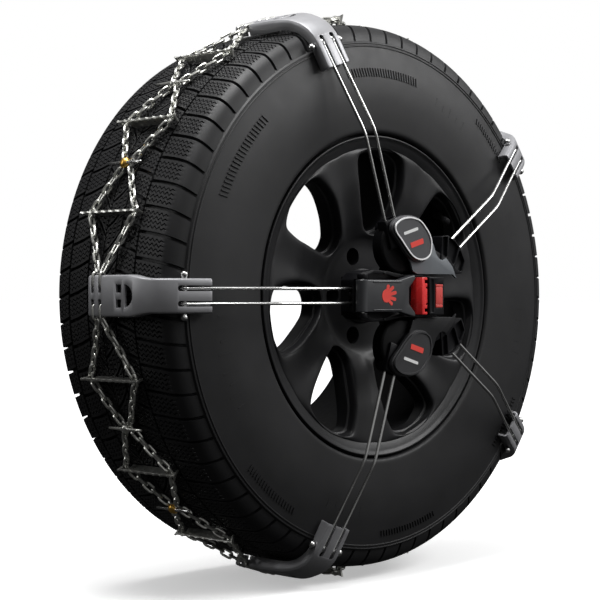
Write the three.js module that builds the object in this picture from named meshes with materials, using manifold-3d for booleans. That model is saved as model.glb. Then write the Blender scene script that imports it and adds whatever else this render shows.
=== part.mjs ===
// A van wheel wearing a front-mounted steel snow chain.
// Millimetres. The wheel turns about Y, its outer face looks along -Y and +Z is up.
// The origin is the wheel's centre: on the axle line, midway across the tread.

import * as THREE from 'three';
import { mergeVertices } from 'three/addons/utils/BufferGeometryUtils.js';
import Module from 'manifold-3d';

const wasm = await Module();
wasm.setup();

// ---------------------------------------------------------------- driving dimensions

const GAP = 0.4;                 // clearance kept between neighbouring pieces
const TURN = 2 * Math.PI;

// tyre 235/65 R16
const TYRE_R = 356;
const TYRE_HALF_WIDTH = 124.5;
const TREAD_HALF_WIDTH = 101;
const BEAD_R = 203;
const LIP_R = 209;
const LIP_Y = -118.5;
const RING_SEGMENTS = 44;

// alloy wheel
const SPOKES = 7;
const WINDOW_PHASE = 37.4;       // degrees, middle of the first window
const WINDOW_OUTER_R = 184;
const WINDOW_INNER_R = 82;
const WINDOW_LEAN = 7.5;         // how far a window's inner end is shifted round the wheel
const HUB_FACE_Y = -85;
const HUB_BACK_Y = -55;
const HUB_PAD_R = 74;
const BORE_R = 32.5;
const BOLTS = 5;
const BOLT_CIRCLE_R = 54;
const BOLT_HOLE_R = 7.5;

// snow chain: five arms, one net segment between each pair of neighbours
const ARMS = 5;
const ARM_STEP = 360 / ARMS;
const FIRST_ARM = 180;           // degrees, the arm that points along -X
const BLADE_OFFSETS = [16, 36, 56];
const CROSSING_OFFSETS = [26, 46];
const NET_Y = -7;                // middle of the net across the tread
const NET_SPREAD = 43;           // strand distance from the middle at a blade
const SLOT_SPREAD = 7;           // and where it enters an arm plate
const STRAND_CENTRE_R = 362.6;
const STRAND_R = 3.7;
const BLADE_LENGTH = 112;
const BLADE_TOP_R = 370;
const BLADE_THICKNESS = 3;
const STUD_LENGTH = 64;

// arm plates, cross pins and spring rods
const PLATE_HALF_WIDTH = 25;
const PLATE_NARROW_HALF_WIDTH = 20.5;
const PLATE_SHEET = 3;
const PIN = { r: 333, y: -121.5, radius: 3.2, halfLength: 26 };
const ROD_R = 2;
const ROD_SPACING = 18;
const ROD_PLANE_Y = -164.5;
const ROD_KINK_R = 218;
const ROD_INNER_R = 86;
const POST_R = 6.4;              // the post that an arm rod's inner bend is hooked round

// tensioning mechanism
const HOUSING_BACK_Y = -148;
const HOUSING_FRONT_Y = -171.6;
const LEVER_FRONT_Y = -188;
const LEVER_AXIS = { x: -97, y: -180 };
const LEVER_HALF_HEIGHT = 20;
const LEVER_WALL = 3;
const PAWL_AXIS = { x: -60, y: -178.4 };
const TRUNNION_R = 2;
const RATCHET_FLOOR_Y = -156;

// ---------------------------------------------------------------- solids and helpers

const rad = (degrees) => degrees * Math.PI / 180;

/** A closed geometry as a manifold solid. */
function solid(geometry) {
  const bare = geometry.index ? geometry.toNonIndexed() : geometry.clone();
  bare.deleteAttribute('normal');
  bare.deleteAttribute('uv');
  const merged = mergeVertices(bare, 1e-3);
  return new wasm.Manifold(new wasm.Mesh({
    numProp: 3,
    vertProperties: new Float32Array(merged.attributes.position.array),
    triVerts: new Uint32Array(merged.index.array),
  }));
}

/** A manifold solid as a geometry. */
function geometryOf(body) {
  const mesh = body.getMesh();
  const geometry = new THREE.BufferGeometry();
  geometry.setAttribute('position', new THREE.BufferAttribute(new Float32Array(mesh.vertProperties), 3));
  geometry.setIndex(new THREE.BufferAttribute(new Uint32Array(mesh.triVerts), 1));
  geometry.computeVertexNormals();
  return geometry;
}

/** All solids joined into the first. */
const join = (first, ...others) => others.reduce((body, other) => body.add(other), first);

/** The first solid with all the others cut from it. */
const cut = (first, ...others) => others.reduce((body, other) => body.subtract(other), first);

/** A shape from corner points. */
const outline = (points) => new THREE.Shape(points.map(([x, y]) => new THREE.Vector2(x, y)));

/** A shape drawn in XZ and extruded along Y, from yBack forwards to yFront. */
function prismY(shape, yBack, yFront, curveSegments = 12) {
  const geometry = new THREE.ExtrudeGeometry(shape, {
    depth: yBack - yFront, bevelEnabled: false, curveSegments,
  });
  geometry.rotateX(Math.PI / 2);
  geometry.translate(0, yBack, 0);
  return solid(geometry);
}

/** A shape drawn in XY and extruded along Z, centred on Z = 0. */
function prismZ(shape, depth, curveSegments = 12) {
  const geometry = new THREE.ExtrudeGeometry(shape, { depth, bevelEnabled: false, curveSegments });
  geometry.translate(0, 0, -depth / 2);
  return solid(geometry);
}

/** A shape drawn in YZ and extruded along X, from xLow to xHigh. */
function prismX(shape, xLow, xHigh) {
  const geometry = new THREE.ExtrudeGeometry(shape, {
    depth: xHigh - xLow, bevelEnabled: false, curveSegments: 5,
  });
  geometry.applyMatrix4(new THREE.Matrix4().makeBasis(
    new THREE.Vector3(0, 1, 0), new THREE.Vector3(0, 0, 1), new THREE.Vector3(1, 0, 0)));
  geometry.translate(xLow, 0, 0);
  return solid(geometry);
}

/** A box between two corners. */
function box([x0, y0, z0], [x1, y1, z1]) {
  const geometry = new THREE.BoxGeometry(x1 - x0, y1 - y0, z1 - z0);
  geometry.translate((x0 + x1) / 2, (y0 + y1) / 2, (z0 + z1) / 2);
  return solid(geometry);
}

/** A cylinder between two points. */
function rod(from, to, radius, sides = 16) {
  const a = new THREE.Vector3(...from);
  const b = new THREE.Vector3(...to);
  const along = b.clone().sub(a);
  const geometry = new THREE.CylinderGeometry(radius, radius, along.length(), sides);
  const turn = new THREE.Quaternion().setFromUnitVectors(new THREE.Vector3(0, 1, 0), along.normalize());
  geometry.applyQuaternion(turn);
  const middle = a.add(b).multiplyScalar(0.5);
  geometry.translate(middle.x, middle.y, middle.z);
  return solid(geometry);
}

/** A ball. */
function ball([x, y, z], radius, sides = 12) {
  const geometry = new THREE.SphereGeometry(radius, sides, sides / 2);
  geometry.translate(x, y, z);
  return solid(geometry);
}

/** A ring turned about Y from a closed [radius, y] outline. */
function ring(profile, segments = RING_SEGMENTS) {
  const area = profile.reduce((sum, [r, y], i) => {
    const [nextR, nextY] = profile[(i + 1) % profile.length];
    return sum + r * nextY - nextR * y;
  }, 0);
  const points = (area > 0 ? [...profile] : [...profile].reverse())
    .map(([r, y]) => new THREE.Vector2(r, y));
  points.push(points[0].clone());
  return solid(new THREE.LatheGeometry(points, segments));
}

/** A line through given stations, for sweeping a section at exactly those stations. */
class StationPath extends THREE.Curve {
  constructor(stations) {
    super();
    this.stations = stations.map((p) => new THREE.Vector3(...p));
  }

  getPointAt(u) {
    const place = u * (this.stations.length - 1);
    const index = Math.min(Math.floor(place + 1e-9), this.stations.length - 2);
    return this.stations[index].clone().lerp(this.stations[index + 1], place - index);
  }

  getTangentAt(u) {
    const last = this.stations.length - 1;
    const index = Math.round(u * last);
    const before = this.stations[Math.max(index - 1, 0)];
    const after = this.stations[Math.min(index + 1, last)];
    return after.clone().sub(before).normalize();
  }
}

/** A round bar swept along stations. */
function bar(stations, radius, sides = 6) {
  const section = new THREE.Shape();
  section.absarc(0, 0, radius, 0, TURN);
  return solid(new THREE.ExtrudeGeometry(section, {
    steps: stations.length - 1,
    curveSegments: sides / 2,
    extrudePath: new StationPath(stations),
  }));
}

/** Points on a circular arc in the plane of two unit directions. */
function arc(centre, first, second, radius, from, to, count) {
  return Array.from({ length: count }, (_, i) => {
    const angle = rad(from + (to - from) * i / (count - 1));
    return centre.map((c, k) => c + radius * (first[k] * Math.cos(angle) + second[k] * Math.sin(angle)));
  });
}

/** A point on the wheel: degrees round from +X towards +Z, radius and y. */
const onWheel = (degrees, r, y) => [r * Math.cos(rad(degrees)), y, r * Math.sin(rad(degrees))];

/** The outline round two circles, the second smaller than the first. */
function egg(a, b) {
  const shape = new THREE.Shape();
  const dx = b.x - a.x;
  const dz = b.z - a.z;
  const heading = Math.atan2(dz, dx);
  const lean = Math.acos((a.r - b.r) / Math.hypot(dx, dz));
  shape.absarc(a.x, a.z, a.r, heading + lean, heading - lean + TURN, false);
  shape.absarc(b.x, b.z, b.r, heading - lean, heading + lean, false);
  return shape;
}

// ---------------------------------------------------------------- materials

const material = (colour, roughness, metalness) => new THREE.MeshStandardMaterial({
  color: colour, roughness, metalness,
});

const rubber = material(0x1c1c1d, 0.85, 0);
const blackAlloy = material(0x222224, 0.5, 0.3);
const greySteel = material(0x808186, 0.4, 0.8);
const brightSteel = material(0xc9c9c6, 0.3, 0.9);
const brassSteel = material(0xb98a2e, 0.35, 0.8);
const blackPlastic = material(0x1b1c1e, 0.45, 0);
const wingGrey = material(0x5c6064, 0.45, 0.1);
const badgeGrey = material(0x4a4b4d, 0.5, 0.1);
const redPlastic = material(0xc8141c, 0.3, 0);

const part = new THREE.Group();

/** Adds a sub-part, turned about the wheel's axle by degrees. */
function place(name, body, finish, degrees = 0) {
  const mesh = new THREE.Mesh(geometryOf(body), finish);
  mesh.name = name;
  mesh.rotation.y = -rad(degrees);
  part.add(mesh);
}

// ---------------------------------------------------------------- tyre and wheel

/** Mirrors a front half profile to the back, so that the ring closes. */
const bothSides = (front) => [...front, ...front.slice().reverse().map(([r, y]) => [r, -y])];

function tyre() {
  const grooveY = -55;
  const outside = [
    [BEAD_R, -88], [BEAD_R, -107.5], [LIP_R, -112], [LIP_R + 1, -119.6],
    [262, -TYRE_HALF_WIDTH], [300, -120.8], [327, -115.4], [341, -109], [350.3, -TREAD_HALF_WIDTH],
    [354.8, grooveY - 3], [347, grooveY], [355.2, grooveY + 3], [TYRE_R, -15],
  ];
  const inside = [
    [344, -60], [336, -92], [300, -112], [250, -115], [216, -104],
  ];
  return ring([...bothSides(outside), ...bothSides(inside.slice().reverse()).reverse()]);
}

function wheelRing() {
  return ring([
    [LIP_R - GAP, LIP_Y], [LIP_R - GAP, -112.4], [BEAD_R - GAP, -108], [BEAD_R - GAP, -84],
    [188, -70], [188, -30], [BEAD_R - GAP, 10], [BEAD_R - GAP, 108.2], [LIP_R - GAP, 112.8],
    [LIP_R - GAP, -LIP_Y], [198, 115], [195, 100], [195, 14], [181, -27], [181, -70],
    [168, -82], [120, -70], [HUB_PAD_R, HUB_BACK_Y], [BORE_R, HUB_BACK_Y], [BORE_R, HUB_FACE_Y],
    [HUB_PAD_R - 6, HUB_FACE_Y], [100, -91], [145, -102], [185, -112], [202, -115.5], [205, LIP_Y],
  ]);
}

/** One window: a rounded wedge between two spokes, lying along +X. */
function windowShape() {
  const shape = new THREE.Shape();
  const outer = rad(12.4);
  const inner = 13;
  const round = 12;
  const x = WINDOW_OUTER_R * Math.cos(outer);
  const z = WINDOW_OUTER_R * Math.sin(outer);
  const near = WINDOW_INNER_R;
  shape.moveTo(near, -inner + 6 - WINDOW_LEAN);
  shape.quadraticCurveTo(near, -inner - WINDOW_LEAN, near + 7, -inner - 1 - WINDOW_LEAN);
  shape.lineTo(x - round, -z + 2.5);
  shape.quadraticCurveTo(x, -z, x + 1.5, -z + round);
  shape.quadraticCurveTo(WINDOW_OUTER_R + 1, 0, x + 1.5, z - round);
  shape.quadraticCurveTo(x, z, x - round, z - 2.5);
  shape.lineTo(near + 7, inner + 2 - WINDOW_LEAN);
  shape.quadraticCurveTo(near, inner - WINDOW_LEAN, near, inner - 6 - WINDOW_LEAN);
  return shape;
}

const VALVE = { degrees: WINDOW_PHASE, r: 190, y: -78, lean: 30, length: 40 };

/** A point along the valve's axis, in the frame whose +X points at the valve. */
const onValve = (distance) => [
  VALVE.r - distance * Math.sin(rad(VALVE.lean)), VALVE.y - distance * Math.cos(rad(VALVE.lean)), 0,
];

function alloyWheel() {
  let body = wheelRing();
  const opening = prismY(windowShape(), -40, -130, 4);
  for (let i = 0; i < SPOKES; i += 1) {
    body = body.subtract(opening.rotate([0, -(WINDOW_PHASE + i * 360 / SPOKES), 0]));
  }
  for (let i = 0; i < BOLTS; i += 1) {
    const degrees = FIRST_ARM + i * 360 / BOLTS;
    const back = onWheel(degrees, BOLT_CIRCLE_R, -40);
    const hole = rod(back, onWheel(degrees, BOLT_CIRCLE_R, -100), BOLT_HOLE_R, 12);
    body = body.subtract(hole);
  }
  const valveHole = rod(onValve(-16), onValve(24), 6.2, 10);
  return body.subtract(valveHole.rotate([0, -VALVE.degrees, 0]));
}

function centreCap() {
  const skirt = ring([[24, -72], [BORE_R - GAP, -72], [BORE_R - GAP, HUB_FACE_Y], [24, HUB_FACE_Y]], 24);
  const face = new THREE.LatheGeometry([
    [0, HUB_FACE_Y - 0.4], [36, HUB_FACE_Y - 0.4], [35, -88.5], [26, -90.5], [0, -91.5],
  ].reverse().map(([r, y]) => new THREE.Vector2(r, y)), 24);
  const neck = rod([0, -84, 0], [0, -86, 0], 28, 24);
  return join(skirt, solid(face), neck);
}

function valveStem() {
  const foot = rod(onValve(-17), onValve(-11), 7.6, 10);
  const neck = rod(onValve(-12), onValve(13), 5.7, 10);
  const taper = rod(onValve(12), onValve(30), 3.9, 10);
  const tip = rod(onValve(29), onValve(VALVE.length), 2.8, 8);
  return join(foot, neck, taper, tip);
}

function valveCap() {
  const shell = rod(onValve(30.5), onValve(43.5), 4.8, 12);
  return shell.subtract(rod(onValve(29), onValve(VALVE.length + 1), 3.3, 12));
}

// ---------------------------------------------------------------- chain arms, in a frame whose +X is radial

/** The outer face of an arm plate, tread end first, as [radius, y]. */
const PLATE_LINE = [
  [374, 8], [374, -58], [373, -76], [370, -90], [364, -105], [356, -116],
  [345.5, -124.5], [333, -129.8], [319, -134], [304.5, -138.2],
];

/** The free edge of its side flanges, in the same order. */
const FLANGE_LINE = [
  [362, 8], [362, -58], [361.6, -76], [360.6, -88], [355, -100.5], [348.5, -107.5],
  [341, -112], [329, -116.2], [316, -120], [301.5, -124],
];

/** The plate line moved inwards by a distance, square to the line. */
function innerLine(distance) {
  return PLATE_LINE.map(([r, y], i) => {
    const [r0, y0] = PLATE_LINE[Math.max(i - 1, 0)];
    const [r1, y1] = PLATE_LINE[Math.min(i + 1, PLATE_LINE.length - 1)];
    const length = Math.hypot(r1 - r0, y1 - y0);
    return [r + distance * (y1 - y0) / length, y - distance * (r1 - r0) / length];
  });
}

/** The plate seen square to the tread, half width given for its two ends. */
const planShape = (wide, narrow) => outline([
  [12, -wide], [12, wide], [-84, wide], [-93, narrow],
  [-145, narrow], [-145, -narrow], [-93, -narrow], [-84, -wide],
]);

function armPlate() {
  const skin = prismZ(outline([...PLATE_LINE, ...FLANGE_LINE.slice().reverse()]), 60);
  const deep = innerLine(PLATE_SHEET);
  const hollowEnd = [[292, -128], [292, -100], [340, -60], [340, 20]];
  const hollow = prismZ(outline([[deep[0][0], 20], ...deep, ...hollowEnd]), 60);
  const plan = prismX(planShape(PLATE_HALF_WIDTH, PLATE_NARROW_HALF_WIDTH), 290, 390);
  const innerPlan = prismX(
    planShape(PLATE_HALF_WIDTH - PLATE_SHEET, PLATE_NARROW_HALF_WIDTH - PLATE_SHEET), 280, 395);
  let body = skin.intersect(plan).subtract(hollow.intersect(innerPlan));

  for (const side of [-1, 1]) {
    const span = (from, to) => (side > 0 ? [from, to] : [-to, -from]);
    for (const spread of [-SLOT_SPREAD, SLOT_SPREAD]) {
      const [low, high] = span(4, 30);
      body = body.subtract(box([350, NET_Y + spread - 2.6, low], [385, NET_Y + spread + 2.6, high]));
    }
    const [squareLow, squareHigh] = span(4, 14);
    body = body.subtract(box([350, -55.5, squareLow], [385, -45.5, squareHigh]));
    const [slotLow, slotHigh] = span(ROD_SPACING / 2 - 3.2, ROD_SPACING / 2 + 3.2);
    body = body.subtract(box([290, -150, slotLow], [345, -112, slotHigh]));
  }

  const moon = new THREE.Shape();
  moon.absarc(-62.5, 0, 13, Math.PI / 2, 3 * Math.PI / 2, false);
  const pinHole = rod([PIN.r, PIN.y, -30], [PIN.r, PIN.y, 30], PIN.radius + GAP, 10);
  return body.subtract(prismX(moon, 350, 385)).subtract(pinHole);
}

function armPin() {
  const shaft = rod([PIN.r, PIN.y, -PIN.halfLength + 2], [PIN.r, PIN.y, PIN.halfLength - 2], PIN.radius, 8);
  const heads = [-1, 1].map((side) => ball([PIN.r, PIN.y, side * (PIN.halfLength - 1)], 4.4, 8));
  return join(shaft, ...heads);
}

/** One leg of a spring rod, from its hook on the cross pin to the mechanism. */
function rodLeg(side) {
  const s = side * ROD_SPACING / 2;
  const reach = PIN.radius + ROD_R + GAP;
  const hook = arc([PIN.r, PIN.y, s], [1, 0, 0], [0, -1, 0], reach, -40, 107, 6);
  return [
    ...hook,
    [ROD_KINK_R + 14, ROD_PLANE_Y + 4.6, s],
    [ROD_KINK_R, ROD_PLANE_Y + 1, s],
    [ROD_KINK_R - 14, ROD_PLANE_Y, s],
    [ROD_INNER_R + 9, ROD_PLANE_Y, s],
  ];
}

function armRod() {
  const bend = arc([ROD_INNER_R + 9, ROD_PLANE_Y, 0], [0, 0, 1], [-1, 0, 0], ROD_SPACING / 2, 0, 180, 7);
  return bar([...rodLeg(1), ...bend.slice(1, -1), ...rodLeg(-1).reverse()], ROD_R);
}

// ---------------------------------------------------------------- tread net

/** The stations of one strand, from one arm plate to the next, side = +1 or -1. */
function strandStations(side) {
  const arrive = (offset, spread, r) => onWheel(-offset, r, NET_Y + side * spread);
  const [firstBlade, middleBlade, lastBlade] = BLADE_OFFSETS;
  const [firstCrossing, lastCrossing] = CROSSING_OFFSETS;
  const r = STRAND_CENTRE_R;
  return [
    arrive(4.4, SLOT_SPREAD, 369), arrive(6.2, SLOT_SPREAD + 3, 366.5), arrive(10, 23, r + 1.4),
    arrive(firstBlade, NET_SPREAD, r), arrive(firstCrossing, 0, r), arrive(middleBlade, -NET_SPREAD, r),
    arrive(lastCrossing, 0, r), arrive(lastBlade, NET_SPREAD, r), arrive(62, 23, r + 1.4),
    arrive(65.8, SLOT_SPREAD + 3, 366.5), arrive(67.6, SLOT_SPREAD, 369),
  ];
}

/** The flat end link that stands in an arm plate's slot. */
function endLink(side, degrees, inwards) {
  const y = NET_Y + side * SLOT_SPREAD;
  const low = inwards > 0 ? 9 : -29.5;
  const high = inwards > 0 ? 29.5 : -9;
  return box([364.5, y - 1.9, low], [375.5, y + 1.9, high]).rotate([0, -degrees, 0]);
}

function treadChain() {
  const strands = [1, -1].map((side) => bar(strandStations(side), STRAND_R, 4));
  const ends = [1, -1].flatMap((side) => [endLink(side, 0, -1), endLink(side, -ARM_STEP, 1)]);
  const [, plainCrossing] = CROSSING_OFFSETS;
  const stud = rod([367, NET_Y - STUD_LENGTH / 2, 0], [367, NET_Y + STUD_LENGTH / 2, 0], 2, 6);
  const knot = ball([STRAND_CENTRE_R + 1.4, NET_Y, 0], 6, 6);
  return join(...strands, ...ends, join(stud, knot).rotate([0, plainCrossing, 0]));
}

function gripBlade() {
  const foot = 357.3;
  const roof = 367.6;
  const notch = 8;
  const half = BLADE_LENGTH / 2;
  const shape = outline([
    [foot, NET_Y - half + 4], [foot, NET_Y - NET_SPREAD - notch], [roof, NET_Y - NET_SPREAD - notch + 2],
    [roof, NET_Y - NET_SPREAD + notch - 2], [foot, NET_Y - NET_SPREAD + notch],
    [foot, NET_Y + NET_SPREAD - notch], [roof, NET_Y + NET_SPREAD - notch + 2],
    [roof, NET_Y + NET_SPREAD + notch - 2], [foot, NET_Y + NET_SPREAD + notch],
    [foot, NET_Y + half - 4], [BLADE_TOP_R, NET_Y + half], [BLADE_TOP_R, NET_Y - half],
  ]);
  return prismZ(shape, BLADE_THICKNESS);
}

function brassCross() {
  const seat = STRAND_CENTRE_R + STRAND_R + GAP;
  const upperHalf = box([seat, NET_Y - 10, -10], [seat + 10, NET_Y + 10, 10]);
  const boss = ball([seat, NET_Y, 0], 6, 8).intersect(upperHalf);
  const stud = rod([seat + 2.1, NET_Y - STUD_LENGTH / 2, 0], [seat + 2.1, NET_Y + STUD_LENGTH / 2, 0], 2, 6);
  return join(boss, stud);
}

// ---------------------------------------------------------------- tensioning mechanism

const BADGE_BIG = { x: 7.7, z: 67.1, r: 23.2 };
const BADGE_SMALL = { x: -18.9, z: 81.7, r: 21.2 };
const grown = (circle, by) => ({ ...circle, r: circle.r + by });
const mirrored = (body) => body.mirror([0, 0, 1]);

/** The outline of the long central housing, with its swollen middle. */
const spineOutline = () => outline([
  [-102, -20], [-94, -29], [-72, -32.5], [-46, -31], [-18, -26.5], [52, -26.5],
  [52, 26.5], [-18, 26.5], [-46, 31], [-72, 32.5], [-94, 29], [-102, 20],
]);

/** The lens-shaped well that the lever lies in. */
const wellOutline = () => outline([
  [-103, -21], [-86, -21], [-72, -28.5], [-46, -27], [-22, -22], [20, -22], [20, 22],
  [-22, 22], [-46, 27], [-72, 28.5], [-86, 21], [-103, 21],
]);

/** The channel round the anchor post that an arm rod's inner bend lies in, pointing along +X. */
function rodChannel() {
  const low = ROD_PLANE_Y - 3.3;
  const high = ROD_PLANE_Y + 3.3;
  const postX = ROD_INNER_R + ROD_SPACING / 2;
  const post = rod([postX, low - 1, 0], [postX, high + 1, 0], POST_R, 12);
  return cut(box([70, low, -12.4], [125, high, 12.4]), post);
}

function spineHousing() {
  const body = prismY(spineOutline(), HOUSING_BACK_Y, -175);
  const well = prismY(wellOutline(), -170, -180);
  const barrelBed = rod([LEVER_AXIS.x, LEVER_AXIS.y, -21], [LEVER_AXIS.x, LEVER_AXIS.y, 21], 9.2, 20);
  const onPin = (z) => [LEVER_AXIS.x, LEVER_AXIS.y, z];
  const pinEars = [-1, 1].map((side) => rod(onPin(side * 21), onPin(side * 27), 6.5, 16));
  const pinHole = rod([LEVER_AXIS.x, LEVER_AXIS.y, -40], [LEVER_AXIS.x, LEVER_AXIS.y, 40], 2.9, 12);
  const frameBed = box([20, -180, -30], [60, -170.6, 30]);
  const latchWell = box([2.4, -180, -24.4], [17.8, -155.6, 24.4]);
  const ratchetSlot = box([-66, -180, -9.5], [-24, RATCHET_FLOOR_Y, 9.5]);
  return cut(join(cut(body, well, barrelBed), ...pinEars), pinHole, frameBed, latchWell, ratchetSlot,
    rodChannel().rotate([0, 180, 0]));
}

/** The housing beside the spine that holds two arms' rods. */
function sideHousing() {
  const drum = prismY(egg(grown(BADGE_BIG, -1), grown(BADGE_SMALL, -1)), HOUSING_BACK_Y, HOUSING_FRONT_Y, 6);
  const reel = rod([-13, -149, 63.5], [-13, -167.4, 63.5], 35, 40);
  const bridge = prismY(outline([[-2, 40], [1, 32], [9, 27.4], [78, 27.4], [84, 30], [66, 52], [30, 66]]),
    -152, HOUSING_FRONT_Y);
  const upSocket = box([66, HOUSING_FRONT_Y, -15.5], [103, -156, 15.5]).rotate([0, -108, 0]);
  const fan = outline([
    [57, 44], [60, 78], [72, 78.5], [86, 72], [98, 63.5],
    [106, 55], [113, 46], [104, 36], [98, 29.5], [78, 28],
  ]);
  const pockets = [
    outline([[63.4, 53], [62.6, 75.6], [70, 75.6], [68, 54]]),
    outline([[73, 54], [74.6, 74.4], [85, 69], [94.8, 61.6], [83, 42]]),
    outline([[87.6, 40], [98.6, 58], [109.4, 46], [99, 33.6]]),
  ].map((pocket) => prismY(pocket, HOUSING_FRONT_Y + 2.8, HOUSING_FRONT_Y - 1));
  const body = join(drum, reel, bridge, upSocket, prismY(fan, -154, HOUSING_FRONT_Y));
  const spineRoom = box([-110, -200, -5], [130, -100, 27.3]);
  const channels = [108, 36].map((degrees) => rodChannel().rotate([0, -degrees, 0]));
  return cut(body, ...pockets, ...channels, spineRoom);
}

function wing() {
  const shape = outline([
    [-9, 52], [-2, 41], [1, 32], [9, 28], [78, 28], [86, 22], [78, 38], [66, 49],
    [59, 46], [52, 48], [46, 54], [40, 68], [-8, 74],
  ]);
  return prismY(shape, HOUSING_FRONT_Y - GAP, -174.6);
}

function badge() {
  const back = -175;
  const low = prismY(egg(BADGE_BIG, BADGE_SMALL), back, -180, 5);
  const high = prismY(egg(grown(BADGE_BIG, -2.4), grown(BADGE_SMALL, -2.4)), -179, -182, 5);
  return join(low, high);
}

function backPlate() {
  const spine = outline([[-98, -24], [-70, -29], [50, -24], [50, 24], [-70, 29], [-98, 24]]);
  const back = HOUSING_BACK_Y + GAP + 3;
  const front = HOUSING_BACK_Y + GAP;
  const arm = prismY(egg(grown(BADGE_BIG, -6), { x: 8, z: 12, r: 14 }), back, front, 5);
  return join(prismY(spine, back, front), arm, mirrored(arm));
}

function tensionLever() {
  const half = LEVER_HALF_HEIGHT;
  const face = outline([
    [-97, -half], [-37, -half], [-19, -24.5], [-9, -26.5], [-8, -22], [-20, -10],
    [-20, 10], [-8, 22], [-9, 26.5], [-19, 24.5], [-37, half], [-97, half],
  ]);
  const plate = prismY(face, -178, LEVER_FRONT_Y);
  const barrel = rod([LEVER_AXIS.x, LEVER_AXIS.y, -half], [LEVER_AXIS.x, LEVER_AXIS.y, half], 8, 24);
  const bore = rod([LEVER_AXIS.x, LEVER_AXIS.y, -30], [LEVER_AXIS.x, LEVER_AXIS.y, 30], 2.9, 12);
  const underside = box([-84, -182.5, -half + LEVER_WALL], [-26, -170, half - LEVER_WALL]);
  const lugs = box([PAWL_AXIS.x - 5.5, -182, -half], [PAWL_AXIS.x + 5.5, -173.6, half]);
  const lugHole = rod([PAWL_AXIS.x, PAWL_AXIS.y, -30], [PAWL_AXIS.x, PAWL_AXIS.y, 30], TRUNNION_R + GAP, 12);
  return cut(join(plate, barrel, lugs), bore, underside, lugHole);
}

const leverPin = () => rod([LEVER_AXIS.x, LEVER_AXIS.y, -26], [LEVER_AXIS.x, LEVER_AXIS.y, 26], 2.5, 12);

function drivePawl() {
  const eye = rod([PAWL_AXIS.x, PAWL_AXIS.y, -8], [PAWL_AXIS.x, PAWL_AXIS.y, 8], 3.4, 14);
  const finger = new THREE.Shape();
  finger.moveTo(-61, -175.6);
  finger.lineTo(-46, -168.5);
  finger.lineTo(-43.5, -167.2);
  finger.lineTo(-44, -170.6);
  finger.lineTo(-57.6, -180);
  const reach = LEVER_HALF_HEIGHT - GAP;
  const onAxis = (z) => [PAWL_AXIS.x, PAWL_AXIS.y, z];
  const trunnions = rod(onAxis(-reach), onAxis(reach), TRUNNION_R, 12);
  return join(eye, prismZ(finger, 12), trunnions);
}

function ratchetBar() {
  const back = RATCHET_FLOOR_Y - GAP;
  const points = [[-64, back], [-64, -163]];
  const pitch = 6;
  for (let x = -60; x + pitch <= -26; x += pitch) {
    points.push([x, -163], [x + 1, -165.6]);
  }
  points.push([-26, -163], [-26, back]);
  return prismZ(outline(points), 17);
}

function releaseLatch() {
  const body = box([3, -185, -23.6], [17.2, -160, 23.6]);
  const notchUp = box([12.4, -190, 16], [20, -181, 20.4]);
  return cut(body, notchUp, mirrored(notchUp));
}

function latchFrame() {
  const body = box([21, -185, -24], [49, -171, 24]);
  return body.subtract(box([32.6, -190, -15.4], [46.4, -173, 15.4]));
}

const lockButton = () => box([33.2, -185.8, -14.8], [45.8, -178, 14.8]);

// ---------------------------------------------------------------- assembly

place('tyre', tyre(), rubber);
place('alloy_wheel', alloyWheel(), blackAlloy);
place('centre_cap', centreCap(), blackPlastic);
place('valve_stem', valveStem(), rubber, VALVE.degrees);
place('valve_cap', valveCap(), blackPlastic, VALVE.degrees);

const plateBody = armPlate();
const pinBody = armPin();
const rodBody = armRod();
const chainBody = treadChain();
const bladeBody = gripBlade();
const crossBody = brassCross();

for (let arm = 0; arm < ARMS; arm += 1) {
  const degrees = FIRST_ARM - arm * ARM_STEP;
  const label = arm + 1;
  place(`arm_plate_${label}`, plateBody, greySteel, degrees);
  place(`arm_pin_${label}`, pinBody, brightSteel, degrees);
  place(`arm_rod_${label}`, rodBody, brightSteel, degrees);
  place(`tread_chain_${label}`, chainBody, brightSteel, degrees);
  place(`brass_cross_${label}`, crossBody, brassSteel, degrees - CROSSING_OFFSETS[0]);
  BLADE_OFFSETS.forEach((offset, i) => {
    place(`grip_blade_${arm * BLADE_OFFSETS.length + i + 1}`, bladeBody, brightSteel, degrees - offset);
  });
}

place('spine_housing', spineHousing(), blackPlastic);
place('upper_side_housing', sideHousing(), blackPlastic);
place('lower_side_housing', mirrored(sideHousing()), blackPlastic);
place('upper_wing', wing(), wingGrey);
place('lower_wing', mirrored(wing()), wingGrey);
place('upper_badge', badge(), badgeGrey);
place('lower_badge', mirrored(badge()), badgeGrey);
place('back_plate', backPlate(), greySteel);
place('tension_lever', tensionLever(), blackPlastic);
place('lever_pin', leverPin(), brightSteel);
place('drive_pawl', drivePawl(), brightSteel);
place('ratchet_bar', ratchetBar(), greySteel);
place('release_latch', releaseLatch(), redPlastic);
place('latch_frame', latchFrame(), blackPlastic);
place('lock_button', lockButton(), redPlastic);

export default part;
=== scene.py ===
"""A van wheel wearing a front-mounted steel snow chain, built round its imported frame.

Shapes are worked out in millimetres and become metres when a piece is made. The axle lies
along Y, the outer face looks along -Y and +Z is up. Angles run from +X towards +Z.
"""
import math

import bmesh
import bpy
from mathutils import Matrix, Vector


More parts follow.
